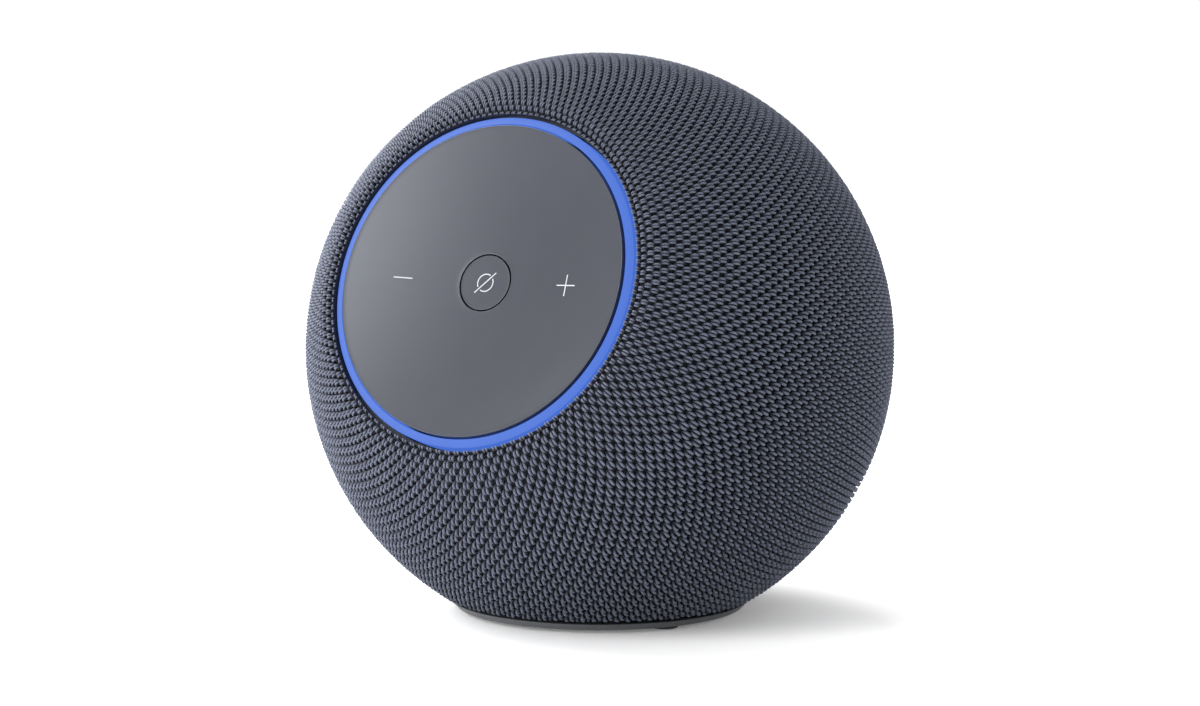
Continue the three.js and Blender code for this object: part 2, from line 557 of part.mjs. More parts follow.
function addBaffle() {
  const disc = ringOf(
    WOOFER_BOWL_RADIUS + WOOFER_HOLE_CLEARANCE, BAFFLE_RADIUS, BAFFLE_BACK, BAFFLE_FRONT, SHELL_SEGMENTS,
  );
  const slotMiddle = cableSlotMiddle();
  const slot = block(
    [-CABLE_SLOT.width / 2, slotMiddle - CABLE_SLOT.height / 2, BAFFLE_BACK - OVERCUT],
    [CABLE_SLOT.width / 2, slotMiddle + CABLE_SLOT.height / 2, BAFFLE_FRONT + OVERCUT],
  );
  const screwHoles = around(WOOFER_SCREW_ANGLES, () =>
    rodOf(SCREW.shank + SCREW.clearance, BAFFLE_BACK - OVERCUT, BAFFLE_FRONT + OVERCUT)
      .translate(WOOFER_SCREW_CIRCLE, 0, 0));
  add(face, 'baffle', cut(disc, slot, ...screwHoles), 'shell');
  const gasketOutside = heightAt(SHELL_OUTSIDE, SHELL_RIM);
  const gasket = ringOf(
    gasketOutside - FIT - GASKET_WIDTH, gasketOutside - FIT, GASKET_BACK, GASKET_BACK + GASKET_THICKNESS,
    SHELL_SEGMENTS,
  );
  add(ball, 'baffle_gasket', cut(toBall(gasket), below(SHELL_BOTTOM)), 'rubber');
}

// The leads pass the baffle below the woofer, about halfway out from its flange to the edge.
const cableSlotMiddle = () => -(WOOFER_FLANGE_RADIUS + BAFFLE_RADIUS) / 2 - CABLE_SLOT.drop;

function addFace() {
  const wallTop = plateBottom(FRAME_WALL_RADIUS - FRAME_WALL) - FIT;
  const channelOutside = RING_RADIUS + FIT;
  const frame = turned([
    [FRAME_RADIUS - FRAME_FLANGE_WIDTH, FRAME_BACK], [FRAME_RADIUS, FRAME_BACK],
    [FRAME_RADIUS, HEM - FIT], [channelOutside, HEM - FIT], [channelOutside, FRAME_FLOOR],
    [FRAME_WALL_RADIUS, FRAME_FLOOR], [FRAME_WALL_RADIUS, wallTop],
    [FRAME_WALL_RADIUS - FRAME_WALL, wallTop], [FRAME_WALL_RADIUS - FRAME_WALL, FRAME_FLOOR],
    [FRAME_RADIUS - FRAME_FLANGE_WIDTH, FRAME_FLOOR],
  ], FACE_SEGMENTS);
  const pilots = around(FACE_SCREW_ANGLES, () => faceScrewHole(FRAME_BACK - OVERCUT, FRAME_FLOOR));
  add(face, 'face_frame', cut(frame, ...pilots), 'shell');

  add(face, 'light_ring', turned([
    [RING_INSIDE, RING_EDGE - RING_HEIGHT], [RING_RADIUS, RING_EDGE - RING_HEIGHT],
    [RING_RADIUS, RING_EDGE], [RING_INSIDE, RING_EDGE + RING_RISE],
  ], FACE_SEGMENTS), 'light');

  const stripBottom = FRAME_FLOOR + FIT;
  const stripTop = stripBottom + LED_STRIP_THICKNESS;
  const stripMiddle = (RING_INSIDE + RING_RADIUS) / 2;
  const strip = ringOf(RING_INSIDE, RING_RADIUS, stripBottom, stripTop, FACE_SEGMENTS);
  const leds = around(evenly(LED_COUNT), () => block(
    [stripMiddle - LED_SIZE / 2, -LED_SIZE / 2, stripBottom + LED_STRIP_THICKNESS / 2],
    [stripMiddle + LED_SIZE / 2, LED_SIZE / 2, stripTop + LED_STRIP_THICKNESS],
  ));
  add(face, 'led_ring', joined(strip, ...leds), 'board');

  // The plate and the film of touch electrodes behind it follow the same dish.
  const dish = (inside, outside, drop, thickness, segments) => {
    const steps = 4;
    const width = (outside - inside) / steps;
    const radii = Array.from({ length: steps + 1 }, (_, i) => inside + width * i);
    const top = radii.map((radius) => [radius, plateTop(radius) - drop]);
    const bottom = radii.map((radius) => [radius, plateTop(radius) - drop - thickness]);
    return turned([...top, ...bottom.reverse()], segments);
  };
  const hole = BUTTON_RADIUS + BUTTON_SEAM;
  const plate = dish(hole, PLATE_RADIUS, 0, PLATE_THICKNESS, FACE_SEGMENTS);
  add(face, 'face_plate', plate, 'face');
  add(face, 'touch_sensor', dish(
    BUTTON_FLANGE_RADIUS + 3 * FIT, FRAME_WALL_RADIUS - FRAME_WALL - FIT,
    PLATE_THICKNESS + FIT, SENSOR_THICKNESS, INNER_SEGMENTS,
  ), 'copper');

  add(face, 'face_board', rodOf(
    FACE_BOARD_RADIUS, FACE_BOARD_BOTTOM, FACE_BOARD_TOP, INNER_SEGMENTS,
  ), 'board');
  evenly(MICROPHONES).forEach((angle, i) => {
    const [halfLength, halfWidth] = [MICROPHONE.length / 2, MICROPHONE.width / 2];
    const can = block(
      [-halfLength, -halfWidth, FACE_BOARD_TOP + FIT],
      [halfLength, halfWidth, FACE_BOARD_TOP + FIT + MICROPHONE.height],
    );
    can.translate(0, MICROPHONE_CIRCLE, 0).rotateZ(radians(angle + MICROPHONE.angle));
    add(face, `microphone_${i + 1}`, can, 'steel');
  });
  FACE_SCREW_ANGLES.forEach((angle, i) => {
    const screw = screwShape(SMALL_SCREW, SHELF_BOTTOM - FIT, 1, FRAME_FLOOR - SHELF_BOTTOM - FIT);
    screw.translate(faceScrewCircle(), 0, 0).rotateZ(radians(angle));
    add(face, `face_screw_${i + 1}`, screw, 'steel');
  });
}

function addButton() {
  const edge = BUTTON_RADIUS;
  add(face, 'mute_button', turned([
    [0, STEM_END], [BUTTON_STEM_RADIUS, STEM_END], [BUTTON_STEM_RADIUS, BUTTON_FLANGE_BOTTOM],
    [BUTTON_FLANGE_RADIUS, BUTTON_FLANGE_BOTTOM], [BUTTON_FLANGE_RADIUS, BUTTON_FLANGE_TOP],
    [edge, BUTTON_FLANGE_TOP], [edge, plateTop(edge)], [0, plateTop(0)],
  ], INNER_SEGMENTS), 'face');
  add(face, 'button_pad', ringOf(
    BUTTON_FLANGE_RADIUS - PAD_INSET - PAD_WALL, BUTTON_FLANGE_RADIUS - PAD_INSET,
    SWITCH_BOTTOM, BUTTON_FLANGE_BOTTOM - FIT, INNER_SEGMENTS,
  ), 'rubber');
  const half = SWITCH_WIDTH / 2;
  const boreBottom = PLUNGER_TOP - PLUNGER_LENGTH - BUTTON_TRAVEL - 3 * PLUNGER_SPARE;
  add(face, 'switch_body', cut(
    block([-half, -half, SWITCH_BOTTOM], [half, half, SWITCH_TOP]),
    rodOf(PLUNGER_RADIUS + FIT, boreBottom, SWITCH_TOP + OVERCUT),
  ), 'chip');
  const plunger = rodOf(PLUNGER_RADIUS, PLUNGER_TOP - PLUNGER_LENGTH, PLUNGER_TOP);
  add(face, 'switch_plunger', plunger, 'steel');
}

function addWoofer() {
  const slope = (WOOFER_BOWL_RADIUS - WOOFER_BOTTOM_RADIUS) / WOOFER_BOWL_DEPTH;
  const bottomInside = BOWL_BOTTOM + WOOFER_WALL;
  const holeRadius = GAP_RADIUS + WOOFER_NECK_CLEARANCE;
  const basket = turned([
    [WOOFER_FLANGE_RADIUS, FLANGE_BACK], [WOOFER_FLANGE_RADIUS, FLANGE_FRONT],
    [WOOFER_BOWL_RADIUS - WOOFER_WALL, FLANGE_FRONT],
    [WOOFER_BOTTOM_RADIUS - WOOFER_WALL, bottomInside],
    [holeRadius, bottomInside], [holeRadius, BOWL_BOTTOM],
    [WOOFER_BOTTOM_RADIUS, BOWL_BOTTOM], [WOOFER_BOWL_RADIUS, FLANGE_BACK],
  ], INNER_SEGMENTS);
  const windows = around(evenly(WOOFER_WINDOWS), () => block(
    [
      WOOFER_BOTTOM_RADIUS - 2 * WOOFER_WALL, -WOOFER_WINDOW_WIDTH / 2,
      BOWL_BOTTOM + WOOFER_WINDOW_RISE,
    ],
    [WOOFER_BOWL_RADIUS + OVERCUT, WOOFER_WINDOW_WIDTH / 2, FLANGE_BACK - WOOFER_WINDOW_DROP],
  ));
  const screwHoles = around(WOOFER_SCREW_ANGLES, () =>
    rodOf(SCREW.shank + SCREW.clearance, FLANGE_BACK - OVERCUT, FLANGE_FRONT + OVERCUT)
      .translate(WOOFER_SCREW_CIRCLE, 0, 0));
  add(face, 'woofer_basket', cut(basket, ...windows, ...screwHoles), 'steel');
  WOOFER_SCREW_ANGLES.forEach((angle, i) => {
    const screw = screwShape(SCREW, FLANGE_FRONT + FIT, -1, FLANGE_FRONT - BAFFLE_BACK - 2 * FIT);
    screw.translate(WOOFER_SCREW_CIRCLE, 0, 0).rotateZ(radians(angle));
    add(face, `woofer_screw_${i + 1}`, screw, 'steel');
  });

  add(face, 'woofer_top_plate', ringOf(
    GAP_RADIUS, MAGNET_RADIUS - TOP_PLATE_INSET, TOP_PLATE_BACK, TOP_PLATE_FRONT, INNER_SEGMENTS,
  ), 'steel');
  add(face, 'woofer_magnet', ringOf(
    GAP_RADIUS + MAGNET_HOLE_CLEARANCE, MAGNET_RADIUS, MAGNET_BACK, MAGNET_FRONT, INNER_SEGMENTS,
  ), 'ferrite');
  const backPlateRadius = MAGNET_RADIUS - BACK_PLATE_INSET;
  add(face, 'woofer_yoke', turned([
    [0, BACK_PLATE_BACK], [backPlateRadius, BACK_PLATE_BACK], [backPlateRadius, BACK_PLATE_FRONT],
    [POLE_RADIUS, BACK_PLATE_FRONT], [POLE_RADIUS, TOP_PLATE_FRONT], [0, TOP_PLATE_FRONT],
  ], INNER_SEGMENTS), 'steel');

  // The cone, its coil and its cap move together. The surround and the spider hold them.
  const neck = COIL_RADIUS + FIT;
  add(face, 'woofer_voice_coil', ringOf(
    COIL_RADIUS - COIL_WALL, COIL_RADIUS, COIL_FRONT - COIL_LENGTH, COIL_FRONT, INNER_SEGMENTS,
  ), 'copper');
  add(face, 'woofer_cone', turned([
    [neck, CONE_NECK - CONE_THICKNESS], [CONE_RADIUS, CONE_FRONT - CONE_THICKNESS],
    [CONE_RADIUS, CONE_FRONT], [neck, CONE_NECK],
  ], INNER_SEGMENTS), 'paper');
  const cap = domeShape(COIL_RADIUS - CAP_INSET, COIL_FRONT + FIT, CAP_RISE, CAP_WALL);
  add(face, 'woofer_dust_cap', cap, 'paper');
  const roll = [CONE_RADIUS + FIT + SURROUND_ROLL, CONE_FRONT];
  add(face, 'woofer_surround', turned([
    ...arc(roll, SURROUND_ROLL, -90, 90, 4),
    ...arc(roll, SURROUND_ROLL - SURROUND_THICKNESS, 90, -90, 4),
  ], INNER_SEGMENTS), 'rubber');
  const spiderBottom = bottomInside + SPIDER_RISE - SPIDER_THICKNESS / 2;
  const spiderOutside = WOOFER_BOTTOM_RADIUS - WOOFER_WALL + slope * SPIDER_INSET;
  add(face, 'woofer_spider', ringOf(
    neck, spiderOutside, spiderBottom, spiderBottom + SPIDER_THICKNESS, INNER_SEGMENTS,
  ), 'copper');
}

function addTweeter() {
  const inside = TWEETER_RADIUS - TWEETER_WALL;
  add(tweeter, 'tweeter_frame', turned([
    [inside, TWEETER_BACK], [TWEETER_RADIUS, TWEETER_BACK], [TWEETER_RADIUS, TWEETER_FLANGE_BACK],
    [TWEETER_FLANGE_RADIUS, TWEETER_FLANGE_BACK], [TWEETER_FLANGE_RADIUS, TWEETER_FLANGE_FRONT],
    [inside, TWEETER_FLANGE_FRONT],
  ], INNER_SEGMENTS), 'shell');
  const domeBase = TWEETER_FLANGE_FRONT - TWEETER_FLANGE_THICKNESS;
  const dome = domeShape(inside - FIT, domeBase, TWEETER_DOME_HEIGHT, TWEETER_DOME_THICKNESS);
  add(tweeter, 'tweeter_dome', dome, 'paper');
  const magnetFront = domeBase - TWEETER_MAGNET_GAP;
  add(tweeter, 'tweeter_magnet', rodOf(
    TWEETER_MAGNET_RADIUS, magnetFront - TWEETER_MAGNET_HEIGHT, magnetFront, INNER_SEGMENTS,
  ), 'ferrite');
}

function addElectronics() {
  const board = rodOf(BOARD_RADIUS, BOARD_BOTTOM, BOARD_TOP, INNER_SEGMENTS).translate(0, BOARD_OFFSET, 0);
  const bossHoles = around(BASE_SCREW_ANGLES, () => rodOf(
    BOSS_RADIUS + FIT, BOARD_BOTTOM - OVERCUT, BOARD_TOP + OVERCUT, INNER_SEGMENTS,
  ).translate(BASE_SCREW_CIRCLE, 0, 0));
  add(ball, 'main_board', cut(board, ...bossHoles), 'board');

  const shieldBottom = BOARD_TOP + FIT;
  const shieldHalf = SHIELD_WIDTH / 2;
  add(ball, 'processor_shield', block(
    [-shieldHalf, -shieldHalf, shieldBottom], [shieldHalf, shieldHalf, shieldBottom + SHIELD_HEIGHT],
  ), 'steel');

  // The heat sink's comb of fins, seen from the front.
  const half = HEAT_SINK_WIDTH / 2;
  const pitch = (HEAT_SINK_WIDTH - HEAT_SINK_FIN) / (HEAT_SINK_FINS - 1);
  const comb = new THREE.Shape().moveTo(-half, 0).lineTo(half, 0);
  for (let i = HEAT_SINK_FINS - 1; i >= 0; i -= 1) {
    const left = -half + i * pitch;
    comb.lineTo(left + HEAT_SINK_FIN, HEAT_SINK_HEIGHT).lineTo(left, HEAT_SINK_HEIGHT);
    if (i > 0) {
      comb.lineTo(left, HEAT_SINK_BASE).lineTo(left - pitch + HEAT_SINK_FIN, HEAT_SINK_BASE);
    }
  }
  comb.closePath();
  add(ball, 'heat_sink', prismAlongY(comb, -half, half)
    .translate(0, 0, shieldBottom + SHIELD_HEIGHT + FIT), 'aluminium');

  const antennaSide = -(BOARD_RADIUS + ANTENNA.gap);
  const antennaBottom = BOARD_TOP + FIT;
  add(ball, 'antenna', block(
    [antennaSide - ANTENNA.thickness, BOARD_OFFSET - ANTENNA.length / 2, antennaBottom],
    [antennaSide, BOARD_OFFSET + ANTENNA.length / 2, antennaBottom + ANTENNA.height],
  ), 'board');
}

function addInlet() {
  const bezel = common(inletOpening(0), turned(ballArc(BALL_RADIUS - FIT, 180, 0, 24), SHELL_SEGMENTS));
  const pocket = prismAlongY(stadium(POCKET.width, POCKET.height), POCKET_FLOOR, FAR)
    .translate(0, 0, INLET_HEIGHT);
  const plugHole = rodOf(JACK.bore + FIT, -FAR, FAR)
    .rotateX(Math.PI / 2).translate(0, 0, INLET_HEIGHT);
  const room = block([-FAR, -FAR, -FAR], [FAR, POCKET_FLOOR - POCKET.floor, FAR]);
  add(ball, 'inlet_bezel', cut(bezel, pocket, plugHole, room), 'shell');

  const bore = rodOf(JACK.bore, -FAR, -(JACK_FRONT - JACK.boreDepth))
    .rotateX(Math.PI / 2).translate(0, 0, INLET_HEIGHT);
  const body = block(
    [-JACK.width / 2, JACK_FRONT - JACK.depth, INLET_HEIGHT - JACK_HALF_HEIGHT],
    [JACK.width / 2, JACK_FRONT, INLET_HEIGHT + JACK_HALF_HEIGHT],
  );
  add(ball, 'dc_jack', cut(body, bore), 'chip');
  const pin = rodOf(JACK.pin, -(JACK_FRONT - FIT), -(JACK_FRONT - JACK.boreDepth + FIT))
    .rotateX(Math.PI / 2).translate(0, 0, INLET_HEIGHT);
  add(ball, 'dc_jack_pin', pin, 'steel');
}

function addBase() {
  const pan = turned([
    [0, BASE_BOTTOM], [BASE_RADIUS, BASE_BOTTOM], [BASE_RIM_RADIUS, RIM_TOP],
    [BASE_LIP_RADIUS, RIM_TOP], [BASE_LIP_RADIUS, LIP_TOP],
    [BASE_LIP_RADIUS - BASE_LIP_WALL, LIP_TOP], [BASE_LIP_RADIUS - BASE_LIP_WALL, BASE_FLOOR_TOP],
    [0, BASE_FLOOR_TOP],
  ], FACE_SEGMENTS);
  const headSeat = BASE_BOTTOM + SCREW.headHeight;
  const seats = around(FOOT_ANGLES, () => rodOf(
    FOOT_RADIUS + FIT, BASE_BOTTOM - OVERCUT, BASE_BOTTOM + FOOT_SEAT, INNER_SEGMENTS,
  ).translate(FOOT_CIRCLE, 0, 0));
  const screwHoles = around(BASE_SCREW_ANGLES, () => joined(
    rodOf(SCREW.shank + SCREW.clearance, BASE_BOTTOM - OVERCUT, BASE_FLOOR_TOP + OVERCUT),
    rodOf(SCREW.head + SCREW.clearance, BASE_BOTTOM - OVERCUT, headSeat),
  ).translate(BASE_SCREW_CIRCLE, 0, 0));
  add(ball, 'base_pan', cut(pan, ...seats, ...screwHoles), 'base');
  FOOT_ANGLES.forEach((angle, i) => {
    const foot = rodOf(
      FOOT_RADIUS, BASE_BOTTOM - FOOT_PROUD, BASE_BOTTOM + FOOT_SEAT - FIT, INNER_SEGMENTS,
    );
    add(ball, `foot_${i + 1}`, foot.translate(FOOT_CIRCLE, 0, 0).rotateZ(radians(angle)), 'rubber');
  });
  BASE_SCREW_ANGLES.forEach((angle, i) => {
    const screw = screwShape(SCREW, headSeat - FIT, 1, BASE_FLOOR + BOSS_BORE_DEPTH - 2 * FIT);
    screw.translate(BASE_SCREW_CIRCLE, 0, 0).rotateZ(radians(angle));
    add(ball, `base_screw_${i + 1}`, screw, 'steel');
  });
}

function addLeads() {
  // The ribbon from the face board passes in front of the woofer, through the baffle, to the board.
  const slot = cableSlotMiddle();
  const ribbon = new THREE.Shape()
    .moveTo(-RIBBON.width / 2, -RIBBON.thickness / 2).lineTo(RIBBON.width / 2, -RIBBON.thickness / 2)
    .lineTo(RIBBON.width / 2, RIBBON.thickness / 2).lineTo(-RIBBON.width / 2, RIBBON.thickness / 2)
    .closePath();
  add(face, 'face_ribbon', swept([
    [-LEAD_SPREAD, -FACE_BOARD_RADIUS + 4, FACE_BOARD_BOTTOM - 2 * FIT],
    [-LEAD_SPREAD, -FACE_BOARD_RADIUS - 2, FACE_BOARD_BOTTOM - 4],
    [-LEAD_SPREAD, (slot - FACE_BOARD_RADIUS) / 2 - 2, (FACE_BOARD_BOTTOM + BAFFLE_FRONT) / 2 + 2],
    [-LEAD_SPREAD, slot, BAFFLE_FRONT + 4],
    [-LEAD_SPREAD, slot, BAFFLE_BACK - 1],
    [-LEAD_SPREAD, slot + 0.6, BAFFLE_BACK - 4],
  ], ribbon, 14), 'copper');

  // The woofer's lead goes down beside the magnet and through the ceiling of the bay.
  const side = WOOFER_BOTTOM_RADIUS + 6.5;
  add(ball, 'woofer_lead', swept([
    [side, 1, -3], [side + 1.5, 6, -10], [side, 11, -18],
    [LEAD_HOLE[0] + 2, LEAD_HOLE[1] - 0.5, BAY_TOP + BAY_CEILING + 3],
    [LEAD_HOLE[0], LEAD_HOLE[1], BAY_TOP + BAY_CEILING / 2],
    [LEAD_HOLE[0], LEAD_HOLE[1], BAY_TOP - 4],
    [LEAD_HOLE[0] - 0.5, LEAD_HOLE[1] - 0.5, BOARD_TOP + 2 * FIT],
  ], roundLead(), 12), 'lead');

  // The tweeter's lead goes round the woofer's flange and through the same slot as the ribbon.
  const circle = WOOFER_FLANGE_RADIUS + 5;
  const start = TWEETER_BACK - 2;
  const leadBend = Array.from({ length: 9 }, (_, i) => {
    const angle = radians(72 - (147 * i) / 8);
    return [circle * Math.cos(angle), circle * Math.sin(angle), BAFFLE_FRONT + 3];
  });
  add(face, 'tweeter_lead', swept([
    [5, start * Math.sin(radians(TWEETER_ANGLE)) - 2, start * Math.cos(radians(TWEETER_ANGLE)) + 1],
    ...leadBend,
    [LEAD_SPREAD, slot, BAFFLE_FRONT],
    [LEAD_SPREAD, slot, BAFFLE_BACK - 3],
  ], roundLead(), 24), 'lead');
}

addCover();
addGrille();
addRearShell();
addBaffle();
addFace();
addButton();
addWoofer();
addTweeter();
addElectronics();
addInlet();
addBase();
addLeads();

export default speaker;
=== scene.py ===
import json
import math

import bmesh
import bpy
import numpy as np
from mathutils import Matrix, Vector


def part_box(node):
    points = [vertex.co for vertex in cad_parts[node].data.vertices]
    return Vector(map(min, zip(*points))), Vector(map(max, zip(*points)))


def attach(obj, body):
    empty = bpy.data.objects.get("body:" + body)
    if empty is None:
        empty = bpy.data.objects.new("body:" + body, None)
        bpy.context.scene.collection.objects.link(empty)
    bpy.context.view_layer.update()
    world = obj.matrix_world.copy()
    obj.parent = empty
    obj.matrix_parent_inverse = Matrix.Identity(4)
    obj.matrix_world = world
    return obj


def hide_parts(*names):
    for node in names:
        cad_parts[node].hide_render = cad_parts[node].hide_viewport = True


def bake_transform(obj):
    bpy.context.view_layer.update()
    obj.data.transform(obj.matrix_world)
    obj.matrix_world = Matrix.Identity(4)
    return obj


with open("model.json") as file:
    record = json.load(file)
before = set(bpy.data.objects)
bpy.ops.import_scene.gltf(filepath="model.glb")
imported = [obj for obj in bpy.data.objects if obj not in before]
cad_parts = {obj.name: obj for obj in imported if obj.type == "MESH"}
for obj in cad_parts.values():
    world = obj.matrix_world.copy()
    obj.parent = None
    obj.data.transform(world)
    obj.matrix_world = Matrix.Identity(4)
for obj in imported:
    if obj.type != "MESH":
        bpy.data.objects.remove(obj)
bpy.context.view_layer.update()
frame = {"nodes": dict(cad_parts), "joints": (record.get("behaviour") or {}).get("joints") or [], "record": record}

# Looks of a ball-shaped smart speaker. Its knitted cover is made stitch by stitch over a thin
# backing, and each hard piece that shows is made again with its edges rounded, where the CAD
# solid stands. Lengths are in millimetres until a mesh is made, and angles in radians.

MM = 0.001
TURN = 2 * math.pi

# ---- The frame: the ball's centre, the face's axis, and what the CAD nodes measure -----------


def node_points(node):
    """A CAD node's vertices, in millimetres."""
    mesh = frame["nodes"][node].data
    points = np.empty(3 * len(mesh.vertices))
    mesh.vertices.foreach_get("co", points)
    return points.reshape(-1, 3) / MM


def joint_axis(name):
    return next(np.array(joint["axis"], float) for joint in frame["joints"] if joint["name"] == name)


COVER_LOW, COVER_HIGH = (np.array(corner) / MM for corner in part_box("knit_cover"))
BALL = COVER_HIGH[0]
CENTRE = np.array([0, COVER_HIGH[1] - BALL, COVER_HIGH[2] - BALL])
FACE_AXIS = -joint_axis("mute_press") / np.linalg.norm(joint_axis("mute_press"))
FACE_RIGHT = np.array([1.0, 0.0, 0.0])
FACE_UP = np.cross(FACE_AXIS, FACE_RIGHT)


def on_face(points):
    """From the face's own frame, with Z out of the face and Y up it, to the row's frame."""
    points = np.asarray(points, float)
    return CENTRE + points @ np.array([FACE_RIGHT, FACE_UP, FACE_AXIS])


def on_ball(points):
    """From the ball's centre, +Z up, to the row's frame."""
    return CENTRE + np.asarray(points, float)


class Span:
    """How far a turned CAD node reaches along the face's axis and out from it."""

    def __init__(self, node):
        offset = node_points(node) - CENTRE
        along = offset @ FACE_AXIS
        radius = np.linalg.norm(offset - np.outer(along, FACE_AXIS), axis=1)
        self.back, self.front = along.min(), along.max()
        self.inside, self.outside = radius.min(), radius.max()
        self.along, self.radius = along, radius

    def front_at(self, radius):
        """The node's front where it has vertices at that radius."""
        return self.along[np.isclose(self.radius, radius, atol=0.02)].max()


COVER, PLATE, RING, CAP = (Span(n) for n in ("knit_cover", "face_plate", "light_ring", "mute_button"))

# ---- Sizes that the CAD solids leave to the looks --------------------------------------------

# The cover: the yarn's loops stand on a backing, and the whole is as thick as the CAD's cover.
COVER_THICKNESS = 1.6
BACKING_TOP = -1.35  # below the outside of the loops
LIP_RADIUS = 4.5  # of the cover's rounding into the opening
EDGE_RADIUS = 0.45  # of its last turn into the groove
EDGE_START = math.radians(-6)
YARN_RADIUS = 0.26
COURSE = 1.3  # the course spacing for which the stitch is drawn
STITCH = 2.3  # the stitch's width for which it is drawn
FIRST_COURSE = -0.1  # along the cover from where its lip starts
FIRST_COURSE_TALL = 0.75  # of a loop's usual length along the cover
COURSE_AT_LIP, COURSE_ON_BALL = 1.33, 1.22
COURSE_EVEN_FROM = 36.0  # along the cover, where the courses reach their even spacing
STITCHES_ROUND = 136
MORE_ABOVE, FEWER_BESIDE = 28, 6  # how the stitches crowd above the face and spread below it
NARROWEST_STITCH = 1.3
YARN_SIDES = 5
SLIP, WANDER, LIFT = 0.012, 0.025, 0.02  # how unevenly loops lie: across, in stitches; along; out
TUCK_IN, TUCK_UP = 0.8, 0.92  # how the yarn turns under at the base, for each millimetre below it
FEWEST_STITCHES = 8  # round the rear pole

# One loop of yarn: across the course, along the wale away from the face, and height.
HALF_LOOP = [
    (-1.15, 0.25, -0.75), (-0.62, 0.62, -0.50), (-0.32, 0.68, -0.02), (-0.36, 0.34, 0.40),
    (-0.39, -0.02, 0.50), (-0.37, -0.40, 0.34), (-0.25, -0.76, -0.14),
]
LOOP_HEAD = (0.0, -0.98, -0.50)
LOOP_TOP = 0.50
YARN_DEPTH = 1.3  # from the top of a loop to where no light reaches the yarn

# The marks on the face
MARK_DISTANCE = 16.7  # of the minus and the plus from the face's middle
MARK_LENGTH = 3.8
MARK_STROKE = 0.19
MUTE_RADIUS = 1.55
MUTE_STROKE = 0.18
MUTE_SLASH = 5.3
MUTE_GAP = 0.30
MARK_PROUD = 0.03
MARK_DEPTH = 0.15

ROUND = 192  # steps round a large turned piece
FINE = 48  # round a small one
FILLET_STEPS = 4

# ---- Making meshes ---------------------------------------------------------------------------


def finish_piece(piece, material, body, replaced=(), bend=None):
    """The piece rides on the body or, with bend, is left where it stands on no body; the bend's points are not
    used.
    """
    piece.data.materials.append(material)
    bpy.context.scene.collection.objects.link(piece)
    if bend is not None:
        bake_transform(piece)
    else:
        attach(piece, body)
    if replaced:
        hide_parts(*replaced)
    return piece


def shade(mesh, angle=35):
    """Smooth shading, with edges sharper than the angle kept."""
    mesh.polygons.foreach_set("use_smooth", [True] * len(mesh.polygons))
    mesh.set_sharp_from_angle(angle=math.radians(angle))


def mesh_object(name, points, faces):
    """A closed mesh from points in millimetres, its faces pointing out."""
    mesh = bpy.data.meshes.new(name)
    mesh.from_pydata([tuple(p) for p in np.asarray(points) * MM], [], [list(f) for f in faces])
    build = bmesh.new()
    build.from_mesh(mesh)
    bmesh.ops.recalc_face_normals(build, faces=build.faces)
    build.to_mesh(mesh)
    build.free()
    return bpy.data.objects.new(name, mesh)


def filleted(outline):
    """A closed outline of (radius, height, fillet) corners, with each corner rounded."""
    corners = [np.array(c[:2], float) for c in outline]
    points = []
    for i, corner in enumerate(corners):
        size = outline[i][2] if len(outline[i]) > 2 else 0
        before, after = corners[i - 1] - corner, corners[(i + 1) % len(corners)] - corner
        before, after = before / np.linalg.norm(before), after / np.linalg.norm(after)
        half = math.acos(np.clip(before @ after, -1, 1)) / 2
        if size == 0 or half > math.radians(88):
            points.append(corner)
            continue
        start, end = corner + before * size / math.tan(half), corner + after * size / math.tan(half)
        for step in np.linspace(0, 1, FILLET_STEPS + 1):
            curve = (1 - step) ** 2 * start + 2 * step * (1 - step) * corner + step ** 2 * end
            points.append(curve)
    return points


def turned(outline, steps):
    """Points and faces of a closed outline turned about Z. Points on the axis are shared."""
    points, rings = [], []
    angles = np.arange(steps) * TURN / steps
    for radius, height in outline:
        if radius < 1e-6:
            rings.append([len(points)] * steps)
            points.append((0, 0, height))
        else:
            rings.append(list(range(len(points), len(points) + steps)))
            points += [(radius * math.cos(a), radius * math.sin(a), height) for a in angles]
    faces = []
    for ring, other in zip(rings, rings[1:] + rings[:1]):
        for i in range(steps):
            k = (i + 1) % steps
            face = list(dict.fromkeys([ring[i], ring[k], other[k], other[i]]))
            if len(face) > 2:
                faces.append(face)
    return np.array(points), faces


def skinned(rings, count):
    """The faces of a row of rings, each of that many points, with both ends closed."""
    faces = [[k + i, k + (i + 1) % count, k + count + (i + 1) % count, k + count + i]
             for k in range(0, (rings - 1) * count, count) for i in range(count)]
    return faces + [list(range(count)), list(range((rings - 1) * count, rings * count))]


def prism(outline, low, high):
    """Points and faces of an outline of (x, y) between two heights."""
    points = [(x, y, z) for z in (low, high) for x, y in outline]
    return np.array(points), skinned(2, len(outline))


def rod(radius, low, high):
    """The outline, for turned, of a plain rod between two heights."""
    return [(0, low), (radius, low), (radius, high), (0, high)]


def stadium(width, height, steps=24):
    """The outline of a slot with round ends."""
    half, radius = (width - height) / 2, height / 2
    points = []
    for side in (1, -1):
        for angle in np.linspace(-math.pi / 2, math.pi / 2, steps):
            points.append((side * (half + radius * math.cos(angle)), side * radius * math.sin(angle)))
    return points


def cut(piece, *tools):
    """Cuts the tools out of the piece and deletes them."""
    for tool in tools:
        bpy.context.scene.collection.objects.link(tool)
        change = piece.modifiers.new("cut", "BOOLEAN")
        change.operation, change.solver, change.object = "DIFFERENCE", "EXACT", tool
    bpy.context.scene.collection.objects.link(piece)
    whole = bpy.data.meshes.new_from_object(piece.evaluated_get(bpy.context.evaluated_depsgraph_get()))
    bpy.context.scene.collection.objects.unlink(piece)
    piece.modifiers.clear()
    piece.data = whole
    for tool in tools:
        bpy.data.objects.remove(tool)
    return piece


# ---- Materials -------------------------------------------------------------------------------


